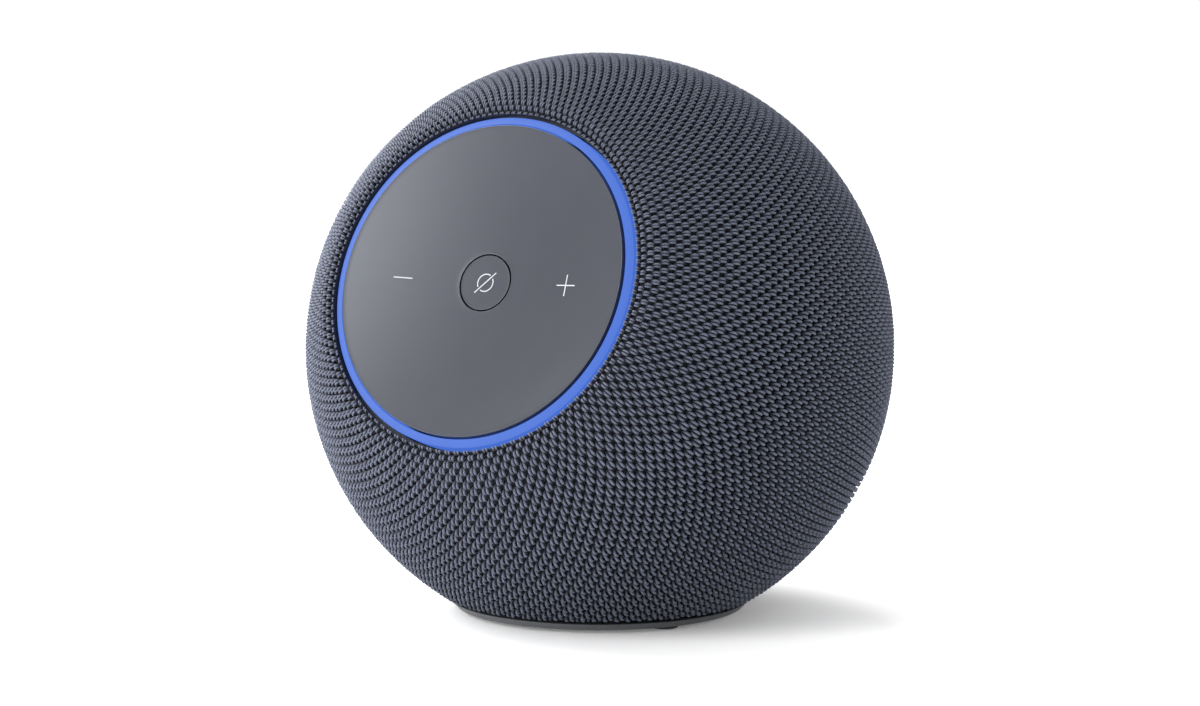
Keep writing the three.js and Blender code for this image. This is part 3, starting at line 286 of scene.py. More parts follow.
class Finish:
    """A Principled material whose colour, roughness and relief vary in the solid's own space."""

    def __init__(self, name, metallic=0.0, **constants):
        self.material = bpy.data.materials.new(name)
        self.material.use_nodes = True
        self.nodes = self.material.node_tree.nodes
        self.links = self.material.node_tree.links
        self.shader = self.nodes["Principled BSDF"]
        self.shader.inputs["Metallic"].default_value = metallic
        for socket, value in constants.items():
            self.shader.inputs[socket.replace("_", " ")].default_value = value
        self.place = self.nodes.new("ShaderNodeTexCoord").outputs["Object"]

    def noise(self, size, detail=3.0, stretch=(1, 1, 1), rough=0.55):
        """Noise whose blobs are about that many millimetres across."""
        scale = self.nodes.new("ShaderNodeMapping")
        scale.inputs["Scale"].default_value = [s / (size * MM) for s in stretch]
        self.links.new(self.place, scale.inputs["Vector"])
        texture = self.nodes.new("ShaderNodeTexNoise")
        texture.inputs["Scale"].default_value = 1.0
        texture.inputs["Detail"].default_value = detail
        texture.inputs["Roughness"].default_value = rough
        self.links.new(scale.outputs["Vector"], texture.inputs["Vector"])
        return texture.outputs["Fac"]

    def bands(self, size, direction="Z", waver=0.0):
        """Even bands that many millimetres apart."""
        texture = self.nodes.new("ShaderNodeTexWave")
        texture.bands_direction = direction
        texture.inputs["Scale"].default_value = TURN / (20 * size * MM)
        texture.inputs["Distortion"].default_value = waver
        self.links.new(self.place, texture.inputs["Vector"])
        return texture.outputs["Fac"]

    def ramp(self, source, *stops):
        """Colours by where the source stands between 0 and 1."""
        ramp = self.nodes.new("ShaderNodeValToRGB")
        elements = ramp.color_ramp.elements
        while len(elements) < len(stops):
            elements.new(0.5)
        for element, (position, colour) in zip(elements, stops):
            element.position = position
            element.color = (*colour, 1)
        self.links.new(source, ramp.inputs["Fac"])
        return ramp.outputs["Color"]

    def mix(self, kind, share, first, second):
        mix = self.nodes.new("ShaderNodeMix")
        mix.data_type, mix.blend_type = "RGBA", kind
        mix.inputs["Factor"].default_value = share
        self.links.new(first, mix.inputs["A"])
        self.links.new(second, mix.inputs["B"])
        return mix.outputs["Result"]

    def colour(self, output):
        self.links.new(output, self.shader.inputs["Base Color"])
        return self

    def shades(self, source, colour, spread):
        """The colour, darker and lighter by the spread as the source varies."""
        dark, light = ([c * (1 + k * spread) for c in colour] for k in (-1, 1))
        return self.ramp(source, (0.3, dark), (0.7, light))

    def roughness(self, source, low, high):
        spread = self.nodes.new("ShaderNodeMapRange")
        spread.inputs["To Min"].default_value = low
        spread.inputs["To Max"].default_value = high
        self.links.new(source, spread.inputs["Value"])
        self.links.new(spread.outputs["Result"], self.shader.inputs["Roughness"])
        return self

    def relief(self, source, height, strength=1.0):
        bump = self.nodes.new("ShaderNodeBump")
        bump.inputs["Distance"].default_value = height * MM
        bump.inputs["Strength"].default_value = strength
        self.links.new(source, bump.inputs["Height"])
        self.links.new(bump.outputs["Normal"], self.shader.inputs["Normal"])
        return self


def moulded(name, colour, grain=0.12, height=0.004, rough=(0.5, 0.62), spread=0.05):
    """Moulded plastic or rubber: a spark-eroded grain and faint flow marks."""
    finish = Finish(name)
    finish.colour(finish.shades(finish.noise(6, detail=6), colour, spread))
    finish.roughness(finish.noise(2.5), *rough)
    return finish.relief(finish.noise(grain, detail=2), height).material


def brushed(name, colour, rough=(0.25, 0.4), stretch=(1, 1, 12)):
    """Plated or extruded metal with fine drawn lines."""
    finish = Finish(name, metallic=1.0)
    finish.colour(finish.shades(finish.noise(3, detail=5), colour, 0.08))
    finish.roughness(finish.noise(0.6, detail=4, stretch=stretch), *rough)
    return finish.relief(finish.noise(0.25, stretch=stretch), 0.004).material


def yarn_material():
    """Melange polyester yarn: loops differ a little from each other, and fine fibres catch light. The yarn also
    carries painted shade: it is darker and bluer the deeper it lies among the loops.
    """
    finish = Finish("yarn", Roughness=0.7, Sheen_Weight=0.04, Sheen_Roughness=0.45)
    finish.shader.inputs["Specular IOR Level"].default_value = 0.2
    depth = finish.nodes.new("ShaderNodeAttribute")
    depth.attribute_name = OPENNESS
    # Painted shade: the yarn is darkened towards a dark blue the lower it lies in the knit, standing in for the
    # shade between the loops.
    shadow = finish.ramp(depth.outputs["Fac"], (0.30, (0.07, 0.08, 0.11)), (0.97, (1.0,) * 3))
    broad = finish.shades(finish.noise(1.6, detail=2), YARN_COLOUR, 0.16)
    broad = finish.mix("MULTIPLY", 1.0, broad, shadow)
    fibres = finish.ramp(finish.noise(0.16, detail=2), (0.32, (0.70,) * 3), (0.68, (1.0,) * 3))
    finish.colour(finish.mix("MULTIPLY", 1.0, broad, fibres))
    return finish.relief(finish.noise(0.14, detail=2), 0.05, 0.6).material


def painted_shade_backing_material():
    finish = Finish("backing", Roughness=0.95)
    # A thin sheet under the loops, painted near black: its colour is painted shade, the darkness seen down the
    # knit's holes.
    finish.colour(finish.shades(finish.noise(0.5), (0.010, 0.012, 0.019), 0.3))
    return finish.relief(finish.noise(0.35), 0.05).material


def face_material(name):
    """Satin plastic of the plate and the button, with a barely visible grain."""
    finish = Finish(name)
    finish.colour(finish.shades(finish.noise(14, detail=5), FACE_COLOUR, 0.02))
    finish.shader.inputs["Specular Tint"].default_value = (0.90, 0.935, 1.0, 1)
    finish.roughness(finish.noise(4), 0.32, 0.36)
    return finish.relief(finish.noise(0.16, detail=2), 0.0022).material


def lens_material():
    """Milky diffuser, lit from behind."""
    finish = Finish("lens", Roughness=0.6, Emission_Strength=1.0)
    finish.shader.inputs["Specular IOR Level"].default_value = 0.15
    finish.shader.inputs["Emission Color"].default_value = (0.060, 0.152, 0.61, 1)
    finish.colour(finish.shades(finish.noise(1.5), (0.008, 0.015, 0.040), 0.10))
    return finish.relief(finish.noise(0.3), 0.002).material


def board_material():
    """Solder mask over copper: rows of tracks under a green lacquer."""
    finish = Finish("solder_mask", Roughness=0.35, Coat_Weight=0.4)
    tracks = finish.bands(1.1, "X", waver=2.5)
    finish.colour(finish.ramp(tracks, (0.45, (0.006, 0.055, 0.028)), (0.55, (0.012, 0.10, 0.050))))
    return finish.relief(tracks, 0.03).material


def winding_material():
    finish = Finish("winding", metallic=0.9, Roughness=0.3)
    turns = finish.bands(0.16, "Y")
    finish.colour(finish.ramp(turns, (0.2, (0.22, 0.07, 0.02)), (0.8, (0.55, 0.22, 0.09))))
    return finish.relief(turns, 0.05).material


def pulp_material(name, colour):
    """Pressed paper or cloth: short fibres in every direction."""
    finish = Finish(name, Roughness=0.9)
    fibres = finish.noise(0.35, detail=8, stretch=(1, 4, 1), rough=0.75)
    finish.colour(finish.shades(fibres, colour, 0.35))
    return finish.relief(fibres, 0.06).material


def ferrite_material():
    finish = Finish("ferrite")
    finish.colour(finish.shades(finish.noise(0.4, detail=8), (0.022, 0.022, 0.024), 0.4))
    finish.roughness(finish.noise(1.2), 0.55, 0.8)
    return finish.relief(finish.noise(0.2, detail=5), 0.02).material


def film_material():
    """Polyimide film over printed tracks."""
    finish = Finish("film", Roughness=0.25, Coat_Weight=0.5)
    tracks = finish.bands(0.8, "X")
    finish.colour(finish.ramp(tracks, (0.4, (0.42, 0.20, 0.06)), (0.6, (0.30, 0.12, 0.03))))
    return finish.relief(tracks, 0.02).material


# The yarn's painted shade follows this attribute: yarn that lies low in the knit is painted darker.
OPENNESS = "openness"  # how far out of the knit each point of the yarn lies, from 0 to 1
YARN_COLOUR = (0.096, 0.108, 0.150)
FACE_COLOUR = (0.0085, 0.0098, 0.0160)
MARK_COLOUR = (0.32, 0.33, 0.36)
BASE_COLOUR = (0.055, 0.058, 0.063)

FINISHES = {
    "shell": moulded("shell_plastic", (0.030, 0.032, 0.037)),
    "face": face_material("face_plastic"),
    "light": lens_material(),
    "base": moulded("base_plastic", BASE_COLOUR, rough=(0.42, 0.55)),
    "rubber": moulded("rubber", (0.014, 0.014, 0.015), grain=0.3, height=0.01, rough=(0.75, 0.9)),
    "board": board_material(),
    "chip": moulded("moulded_black", (0.013, 0.014, 0.016), grain=0.2, height=0.006),
    "steel": brushed("plated_steel", (0.46, 0.46, 0.47)),
    "aluminium": brushed("extruded_aluminium", (0.58, 0.59, 0.60), stretch=(12, 1, 1)),
    "ferrite": ferrite_material(),
    "paper": pulp_material("pressed_pulp", (0.020, 0.021, 0.023)),
    "dome": pulp_material("coated_silk", (0.016, 0.016, 0.018)),
    "film": film_material(),
    "copper": winding_material(),
    "cloth": pulp_material("dipped_cloth", (0.30, 0.20, 0.08)),
    "lead": moulded("lead_jacket", (0.22, 0.016, 0.014), grain=0.4, height=0.004, rough=(0.4, 0.5)),
}
MARK_FINISH = moulded("mark_ink", MARK_COLOUR, grain=0.1, height=0.002)


def paint_cad_nodes():
    """Every CAD node gets the finish of its own slot. The knit's node is replaced below."""
    for part in frame["record"]["subparts"]:
        finish = FINISHES.get(part["material_slot"])
        if finish is None:
            continue
        for holder in frame["nodes"][part["node"]].material_slots:
            holder.material = finish


# ---- The knitted cover -----------------------------------------------------------------------

OPENING = COVER.radius[COVER.along > 0].min()
EDGE = COVER.front_at(OPENING)
HEM = COVER.along[np.isclose(COVER.radius, OPENING, atol=0.02)].min()
BASE_CUT = COVER_LOW[2] - CENTRE[2]
INLET_LOW, INLET_HIGH = (np.array(corner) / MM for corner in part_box("inlet_bezel"))
INLET_HEIGHT = (INLET_LOW[2] + INLET_HIGH[2]) / 2 - CENTRE[2]
INLET_ROOM = 0.3  # between the cover and the inlet's bezel
FAR = 99  # past the object on every side, for tools that cut it


class Profile:
    """The cover's outside: a small turn at its edge, the lip, and the ball to its rear pole."""

    def __init__(self):
        reach = BALL - LIP_RADIUS
        edge = math.hypot(OPENING, EDGE)
        lean = math.acos((edge ** 2 + reach ** 2 - LIP_RADIUS ** 2) / (2 * edge * reach))
        self.lean = math.atan2(OPENING, EDGE) + lean
        lip = np.array([reach * math.sin(self.lean), reach * math.cos(self.lean)])
        inward = np.array([math.sin(EDGE_START), math.cos(EDGE_START)])
        turn = lip + (LIP_RADIUS - EDGE_RADIUS) * inward
        self.centres = np.array([turn, lip, (0, 0)])
        self.radii = np.array([EDGE_RADIUS, LIP_RADIUS, BALL])
        self.starts = np.array([EDGE_START, EDGE_START, self.lean])
        self.lip_length = LIP_RADIUS * (self.lean - EDGE_START)
        self.length = self.lip_length + BALL * (math.pi - self.lean)

    def at(self, along, height):
        """Distance from the face's axis and place along it, for a height over the outside."""
        along = np.asarray(along, float)
        stretch = (along > 0).astype(int) + (along > self.lip_length)
        past = along - np.where(stretch == 2, self.lip_length, 0)
        angle = self.starts[stretch] + past / self.radii[stretch]
        reach = np.maximum(self.radii[stretch] + height, 0.05)
        centre = self.centres[stretch]
        return centre[..., 0] + reach * np.sin(angle), centre[..., 1] + reach * np.cos(angle)

    def place(self, along, turn, height):
        """The point in the row's frame. turn is the angle round the face, from its top."""
        radius, out = self.at(along, height)
        return on_face(np.stack([radius * np.sin(turn), radius * np.cos(turn), out], -1))


PROFILE = Profile()


def stitch_template():
    """A loop's rings of yarn: centreline, and each side's offset from it."""
    line = np.array(HALF_LOOP + [LOOP_HEAD] + [(-x, y, z) for x, y, z in HALF_LOOP[:0:-1]])
    step = np.array([STITCH, 0, 0])
    before, after = np.vstack([line[-1] - step, line[:-1]]), np.vstack([line[1:], line[0] + step])
    tangents = after - before
    tangents /= np.linalg.norm(tangents, axis=1)[:, None]
    side = np.array([0.0, 1.0, 0.0])
    frames = []
    for tangent in np.vstack([tangents, tangents[:1]]):
        side = side - tangent * (side @ tangent)
        side /= np.linalg.norm(side)
        frames.append((side, np.cross(tangent, side)))
    # The frame comes back turned a little: the turn is shared out along the loop.
    twist = math.atan2(frames[-1][0] @ frames[0][1], frames[-1][0] @ frames[0][0])
    offsets = []
    for i, (side, other) in enumerate(frames[:-1]):
        angles = np.arange(YARN_SIDES) * TURN / YARN_SIDES - twist * i / len(line)
        offsets.append(np.outer(np.cos(angles), side) + np.outer(np.sin(angles), other))
    return line, np.array(offsets)


def turn_of_column():
    """The angle round the face for a place among the stitches, counted from its top."""
    angle = np.linspace(-TURN, 2 * TURN, 6001)
    crowd = MORE_ABOVE * np.sin(angle) - FEWER_BESIDE / 2 * np.sin(2 * angle)
    column = (STITCHES_ROUND * angle + crowd) / TURN
    return lambda place: np.interp(place, column, angle)


def courses():
    """The places of the courses along the cover."""
    along, places = FIRST_COURSE, []
    while along < PROFILE.length - COURSE:
        places.append(along)
        share = min(max(along / COURSE_EVEN_FROM, 0), 1)
        along += COURSE_AT_LIP + (COURSE_ON_BALL - COURSE_AT_LIP) * share
    return places


def inlet_distance(points):
    """How far points are outside the inlet's opening, looking along Y. Large in front of the ball."""
    half = (INLET_HIGH[0] - INLET_LOW[0] - (INLET_HIGH[2] - INLET_LOW[2])) / 2
    radius = (INLET_HIGH[2] - INLET_LOW[2]) / 2 + INLET_ROOM
    across = np.maximum(np.abs(points[..., 0]) - half, 0) * np.sign(points[..., 0])
    up = points[..., 2] - CENTRE[2] - INLET_HEIGHT
    reach = np.hypot(across, up)
    outward = np.stack([across, np.zeros_like(up), up], -1) / np.maximum(reach, 1e-6)[..., None]
    return np.where(points[..., 1] > 0, reach - radius, BALL), outward


def tuck(points):
    """Turns the yarn under at the cover's lower edge and into the inlet's opening."""
    under = np.maximum(CENTRE[2] + BASE_CUT + YARN_RADIUS - points[:, 2], 0)
    inward = CENTRE - points
    inward[:, 2] = 0
    inward /= np.linalg.norm(inward, axis=1)[:, None]
    points = points + under[:, None] * (TUCK_IN * inward)
    points[:, 2] += under * TUCK_UP
    distance, outward = inlet_distance(points)
    inside = np.maximum(-distance, 0)[:, None]
    return points + inside * outward - inside * np.array([0, TUCK_IN, 0])


def loops_of_course(number, along, chance, turn_at, line, offsets):
    """One course's loops, as points in (loop, ring, side) order, and which loops are kept."""
    radius = PROFILE.at(along, 0)[0]
    stitch, share = TURN * radius / STITCHES_ROUND, 1
    while STITCHES_ROUND / share > FEWEST_STITCHES and stitch * share < NARROWEST_STITCH:
        share *= 2
    count = STITCHES_ROUND // share
    first = np.arange(count) + (0.5 if number % 2 else 0.0)
    jitter = chance.normal(0, 1, (3, count, 1))
    place = (first[:, None] + line[None, :, 0] / STITCH + SLIP * jitter[0]) * share
    place = place * STITCHES_ROUND / (count * share)
    width = (turn_at(first * share + share / 2) - turn_at(first * share - share / 2)) * radius
    thin = np.clip(width / STITCH, 0.5, 1)[:, None] ** 0.6
    tall = 1.0 if along > COURSE else FIRST_COURSE_TALL
    turn = turn_at(place)[..., None] + offsets[None, ..., 0] * (YARN_RADIUS * thin[..., None]) / radius
    wale = (along + tall * line[None, :, 1] + WANDER * jitter[1])[..., None]
    wale = wale + offsets[None, ..., 1] * YARN_RADIUS * thin[..., None]
    height = (line[None, :, 2] - LOOP_TOP - YARN_RADIUS + LIFT * jitter[2])[..., None]
    height = height + offsets[None, ..., 2] * YARN_RADIUS * thin[..., None]
    points = PROFILE.place(wale, turn, height)
    middle = PROFILE.place(np.full(count, along), turn_at(place[:, len(line) // 2]), np.zeros(count))
    kept = middle[:, 2] > CENTRE[2] + BASE_CUT - 0.5
    kept &= inlet_distance(middle)[0] > -0.6
    openness = np.clip(1 + height / YARN_DEPTH, 0, 1)
    return points, kept, turn, wale, openness


def knit():
    """The loops of yarn of the whole cover, each course one yarn round the ball."""
    line, offsets = stitch_template()
    turn_at = turn_of_column()
    chance = np.random.default_rng(7)
    rings = len(line)
    points, quads, caps, marks, depths, used = [], [], [], [], [], 0
    for number, along in enumerate(courses()):
        loops, kept, turn, wale, openness = loops_of_course(number, along, chance, turn_at, line, offsets)
        if not kept.any():
            continue
        count = int(kept.sum())
        index = np.full(len(kept), -1)
        index[kept] = np.arange(count)
        points.append(tuck(loops[kept].reshape(-1, 3)))
        marks.append(np.stack([turn[kept].ravel() / TURN % 1, wale[kept].ravel() / PROFILE.length], -1))
        depths.append(np.broadcast_to(openness, turn.shape)[kept].ravel())
        grid = used + np.arange(count * rings * YARN_SIDES).reshape(count, rings, YARN_SIDES)
        follower = np.roll(index, -1)[kept]
        chain = np.concatenate([grid, grid[np.maximum(follower, 0), :1]], axis=1)
        here, there = chain[:, :-1], chain[:, 1:]
        faces = np.stack([here, np.roll(here, -1, 2), np.roll(there, -1, 2), there], -1)
        linked = np.ones((count, rings), bool)
        linked[:, -1] = follower >= 0
        quads.append(faces[linked].reshape(-1, 4))
        caps.append(grid[follower < 0, -1])
        caps.append(grid[np.roll(index, 1)[kept] < 0, 0][:, ::-1])
        used += count * rings * YARN_SIDES
    return [np.concatenate(rows) for rows in (points, quads, caps, marks, depths)]


def add_cover():
    points, quads, caps, marks, depths = knit()
    mesh = bpy.data.meshes.new("knit_loops")
    mesh.vertices.add(len(points))
    mesh.vertices.foreach_set("co", (points * MM).ravel())
    corners = np.concatenate([quads.ravel(), caps.ravel()]).astype(np.int32)
    mesh.loops.add(len(corners))
    mesh.loops.foreach_set("vertex_index", corners)
    starts = np.concatenate([
        np.arange(len(quads)) * 4, 4 * len(quads) + np.arange(len(caps)) * YARN_SIDES,
    ]).astype(np.int32)
    mesh.polygons.add(len(starts))
    mesh.polygons.foreach_set("loop_start", starts)
    mesh.update(calc_edges=True)
    mesh.polygons.foreach_set("use_smooth", np.ones(len(starts), bool))
    chart = mesh.uv_layers.new(name="OFBake")
    chart.data.foreach_set("uv", marks[corners].astype(np.float32).ravel())
    # The openness drives the painted shade on the yarn.
    mesh.attributes.new(OPENNESS, "FLOAT", "POINT").data.foreach_set("value", depths.astype(np.float32))
    loops = finish_piece(bpy.data.objects.new("knit_loops", mesh), yarn_material(), "root")

    along = np.concatenate([np.linspace(0, PROFILE.lip_length, 8)[:-1],
                            np.linspace(PROFILE.lip_length, PROFILE.length, 90)])
    hem = OPENING + EDGE_RADIUS
    outside = [(hem, HEM)] + list(zip(*PROFILE.at(along, BACKING_TOP)))
    inside = list(zip(*PROFILE.at(along, -COVER_THICKNESS)))[::-1] + [(hem + 0.3, HEM)]
    points, faces = turned([(max(r, 0), z) for r, z in outside + inside], ROUND)
    backing = mesh_object("knit_backing", on_face(points), faces)
    square = [(-FAR, -FAR), (FAR, -FAR), (FAR, FAR), (-FAR, FAR)]
    floor = mesh_object("floor_tool", *prism(square, -FAR, CENTRE[2] + BASE_CUT))
    slot_points, slot_faces = prism(stadium(
        INLET_HIGH[0] - INLET_LOW[0] + 2 * INLET_ROOM, INLET_HIGH[2] - INLET_LOW[2] + 2 * INLET_ROOM,
    ), 0, FAR)
    hole = mesh_object("hole_tool", on_inlet(slot_points), slot_faces)
    cut(backing, floor, hole)
    shade(backing.data)
    finish_piece(backing, painted_shade_backing_material(), "root", ["knit_cover"])


def on_inlet(points):
    """From a frame with Z out of the back and Y up, round the inlet's middle, to the row's."""
    points = np.asarray(points, float)
    return on_ball(np.stack([points[:, 0], points[:, 2], points[:, 1] + INLET_HEIGHT], -1))


# ---- The face --------------------------------------------------------------------------------

PLATE_EDGE = PLATE.front_at(PLATE.outside)
PLATE_BACK = PLATE.along[np.isclose(PLATE.radius, PLATE.outside, atol=0.02)].min()
PLATE_THICKNESS = PLATE_EDGE - PLATE_BACK
DISH = (PLATE_EDGE - PLATE.front_at(PLATE.inside)) / (1 - (PLATE.inside / PLATE.outside) ** 2)
BUTTON_RADIUS = CAP.radius[CAP.along > CAP.front - 0.2].max()
BUTTON_BODY = "mute_button"


def dish(radius):
    """The front of the plate, and of the button in it, at that distance from the middle."""
    return PLATE_EDGE - DISH * (1 - (np.asarray(radius) / PLATE.outside) ** 2)


def dished(inside, outside, thickness, fillet, steps=28):
    """The outline of a dished ring or disc, its front corners rounded."""
    radii = np.linspace(inside, outside, steps)
    front = [(r, dish(r), 0) for r in radii]
    back = [(r, dish(r) - thickness, 0) for r in radii[::-1]]
    front[-1] = (*front[-1][:2], fillet)
    if inside > 0:
        front[0] = (*front[0][:2], fillet)
    return filleted(front + back)


def add_plate():
    points, faces = turned(dished(PLATE.inside, PLATE.outside, PLATE_THICKNESS, 0.12), ROUND)
    plate = mesh_object("control_plate", on_face(points), faces)
    shade(plate.data)
    finish_piece(plate, FINISHES["face"], "root", ["face_plate"])


def add_button():
    flange = CAP.along[np.isclose(CAP.radius, CAP.outside, atol=0.05)]
    stem = CAP.radius[np.isclose(CAP.along, CAP.back, atol=0.02)].max()
    radii = np.linspace(0, BUTTON_RADIUS, 12)
    outline = [(r, dish(r), 0) for r in radii[:-1]] + [
        (BUTTON_RADIUS, dish(BUTTON_RADIUS), 0.1), (BUTTON_RADIUS, flange.max(), 0),
        (CAP.outside, flange.max(), 0.1), (CAP.outside, flange.min(), 0.1),
        (stem, flange.min(), 0), (stem, CAP.back, 0.1), (0, CAP.back, 0),
    ]
    points, faces = turned(filleted(outline), 2 * FINE)
    button = mesh_object("mute_cap", on_face(points), faces)
    shade(button.data)
    finish_piece(button, FINISHES["face"], BUTTON_BODY, ["mute_button"])


def add_ring():
    outer, inner = RING.front_at(RING.outside), RING.front_at(RING.inside)
    points, faces = turned(filleted([
        (RING.inside, RING.back, 0.1), (RING.outside, RING.back, 0.1),
        (RING.outside, outer, 0.15), (RING.inside, inner, 0.15),
    ]), ROUND)
    ring = mesh_object("light_lens", on_face(points), faces)
    shade(ring.data)
    finish_piece(ring, FINISHES["light"], "root", ["light_ring"])


def bar(length, stroke, angle=0.0, steps=8):
    """The outline of a bar with round ends."""
    points = np.array(stadium(length, stroke, steps))
    turn = np.array([[math.cos(angle), math.sin(angle)], [-math.sin(angle), math.cos(angle)]])
    return points @ turn


def arc_band(radius, stroke, start, end, steps=40):
    """The outline of a stretch of a ring."""
    angles = np.linspace(start, end, steps)
    rim = [(radius + stroke / 2) * np.array([math.cos(a), math.sin(a)]) for a in angles]
    inner = [(radius - stroke / 2) * np.array([math.cos(a), math.sin(a)]) for a in angles[::-1]]
    return np.array(rim + inner)


def add_mark(name, outlines, centre, body="root"):
    """Printed strokes that stand a hair proud of the face, one piece for the whole mark."""
    points, faces = [], []
    for outline in outlines:
        flat = np.asarray(outline) + centre
        level = dish(np.hypot(flat[:, 0], flat[:, 1]))
        used = len(points)
        points += [(x, y, z - MARK_DEPTH) for (x, y), z in zip(flat, level)]
        points += [(x, y, z + MARK_PROUD) for (x, y), z in zip(flat, level)]
        faces += [[used + corner for corner in face] for face in skinned(2, len(flat))]
    mark = mesh_object(name, on_face(points), faces)
    finish_piece(mark, MARK_FINISH, body)


def plus_outline():
    half, width = MARK_LENGTH / 2, MARK_STROKE / 2
    arm = np.array([(half, -width), (half, width), (width, width)])
    quarter_turn = np.array([[0, 1], [-1, 0]])
    return np.concatenate([arm @ np.linalg.matrix_power(quarter_turn, k) for k in range(4)])


def add_marks():
    add_mark("minus_mark", [bar(MARK_LENGTH, MARK_STROKE)], (-MARK_DISTANCE, 0))
    add_mark("plus_mark", [plus_outline()], (MARK_DISTANCE, 0))
    slope = math.radians(45)
    opening = math.asin((MUTE_STROKE / 2 + MUTE_GAP) / MUTE_RADIUS)
    halves = [arc_band(MUTE_RADIUS, MUTE_STROKE, start + opening, start + math.pi - opening)
              for start in (slope, slope + math.pi)]
    slash = bar(MUTE_SLASH, MUTE_STROKE, slope)
    add_mark("mute_mark", [*halves, slash], (0, 0), BUTTON_BODY)


# ---- Soft pieces inside ----------------------------------------------------------------------

PAD_FOOT, PAD_HEAD, PAD_WAIST = 0.7, 0.5, 0.35  # the flanges' heights, and how thin it is between
SPIDER_WAVES = 5
SPIDER_CLOTH = 0.24
SURROUND_WALL = 0.5


def add_pad():
    """The button's silicone return pad."""
    pad = Span("button_pad")
    web = np.linspace(pad.back + PAD_FOOT, pad.front - PAD_HEAD, 8)
    waist = pad.outside - PAD_WAIST
    points, faces = turned(filleted([
        (pad.inside, pad.back, 0.1), (pad.outside, pad.back, 0.1), (pad.outside, web[0], 0.1),
        *[(waist, height, 0) for height in web],
        (pad.outside, web[-1], 0.1), (pad.outside, pad.front, 0.1), (pad.inside, pad.front, 0.1),
        *[(pad.inside, height, 0) for height in web[::-1]],
    ]), 2 * FINE)
    piece = mesh_object("return_pad", on_face(points), faces)
    shade(piece.data)
    ends = on_face([(0, 0, pad.front), (0, 0, pad.back)])
    finish_piece(piece, FINISHES["rubber"], BUTTON_BODY, ["button_pad"], bend=ends)


def add_flexure(name, node, slot, section, sectors):
    """A ring from the woofer's cone, at its inside, to its basket, at its outside, made in sectors."""
    half, steps = math.pi / sectors, 9
    faces = skinned(steps, len(section))
    radii = [r for r, _ in section]
    bending = (min(radii) + 0.1, max(radii) * math.cos(half))
    for number in range(sectors):
        towards = TURN * number / sectors
        angles = np.linspace(towards - half, towards + half, steps)
        points = [(r * math.cos(a), r * math.sin(a), z) for a in angles for r, z in section]
        piece = mesh_object(f"{name}_{number + 1}", on_face(points), faces)
        shade(piece.data)
        ends = on_face([(r * math.cos(towards), r * math.sin(towards), section[0][1]) for r in bending])
        finish_piece(piece, FINISHES[slot], "woofer_cone", [node], bend=ends)


def add_spider():
    """The corrugated cloth ring that keeps the voice coil in the middle."""
    spider = Span("woofer_spider")
    middle = (spider.back + spider.front) / 2
    wave_height = (spider.front - spider.back - SPIDER_CLOTH) / 2
    part = np.linspace(0, 1, 8 * SPIDER_WAVES + 1)
    radii = spider.inside + part * (spider.outside - spider.inside)
    wave = middle + wave_height * np.sin(TURN * SPIDER_WAVES * part)
    section = [(r, z + SPIDER_CLOTH / 2) for r, z in zip(radii, wave)]
    section += [(r, z - SPIDER_CLOTH / 2) for r, z in zip(radii[::-1], wave[::-1])]
    add_flexure("spider_sector", "woofer_spider", "cloth", section, 8)


def add_surround():
    """The half roll of rubber round the cone."""
    surround = Span("woofer_surround")
    middle = (surround.inside + surround.outside) / 2
    roll = (surround.outside - surround.inside) / 2
    turn = np.linspace(math.pi, 0, 17)
    section = [(middle + roll * math.cos(a), surround.back + roll * math.sin(a)) for a in turn]
    inner = roll - SURROUND_WALL
    section += [(middle + inner * math.cos(a), surround.back + inner * math.sin(a)) for a in turn[::-1]]
    add_flexure("surround_sector", "woofer_surround", "rubber", section, 12)


# ---- The base and the inlet ------------------------------------------------------------------

BASE_WALL, BASE_FLOOR = 1.8, 2.0
SEAT_ROOM = 0.3  # round a foot or a screw's head in the base
FOOT_SEAT_DEPTH, SCREW_SEAT_DEPTH = 0.9, 1.1
SCREW_HEAD, SCREW_SHANK = 1.1, 1.1  # the head's height and the shank's radius
RECESS_RADIUS, RECESS_LOBES, RECESS_DEPTH = 0.95, 0.17, 0.7
BEZEL_WALL, BEZEL_FLOOR, BEZEL_EDGE = 1.2, 1.5, 0.25
BEZEL_SUNK = 0.3  # below the ball's surface
PLUG_BORE, PLUG_DEPTH = 2.85, 9.0  # the jack's bore: its radius and depth


def base_sizes():
    """The base pan's bottom, rim and top, and its radii at each, from its node."""
    points = node_points("base_pan") - CENTRE
    radius = np.hypot(points[:, 0], points[:, 1])
    bottom, top = points[:, 2].min(), points[:, 2].max()
    rim = points[np.isclose(radius, radius.max(), atol=0.01), 2].max()
    low = radius[np.isclose(points[:, 2], bottom, atol=0.01)].max()
    lip = radius[np.isclose(points[:, 2], top, atol=0.01)].max()
    return bottom, rim, top, low, radius.max(), lip


def upright(outline, steps, middle=(0, 0)):
    """An outline turned about an upright axis through the middle, in the ball's frame."""
    points, faces = turned(outline, steps)
    return points + np.array([*middle, 0]), faces


def add_base():
    bottom, rim, top, low, wide, lip = base_sizes()
    inside, floor = lip - BASE_WALL, bottom + BASE_FLOOR
    points, faces = upright(filleted([
        (0, bottom, 0), (low, bottom, 0.35), (wide, rim, 0.25), (lip, rim, 0), (lip, top, 0.2),
        (inside, top, 0.2), (inside, floor, 0), (0, floor, 0),
    ]), ROUND)
    pan = mesh_object("base_ring", on_ball(points), faces)
    tools = []
    for kind, depth in (("foot", FOOT_SEAT_DEPTH), ("base_screw", SCREW_SEAT_DEPTH)):
        for i in (1, 2, 3):
            middle, radius = seat(f"{kind}_{i}")
            points, faces = upright(rod(radius + SEAT_ROOM, bottom - 1, bottom + depth), FINE, middle)
            tools.append(mesh_object("seat_tool", on_ball(points), faces))
    cut(pan, *tools)
    shade(pan.data, 30)
    finish_piece(pan, FINISHES["base"], "root", ["base_pan"])
    for i in (1, 2, 3):
        add_foot(i)
        add_screw(i)


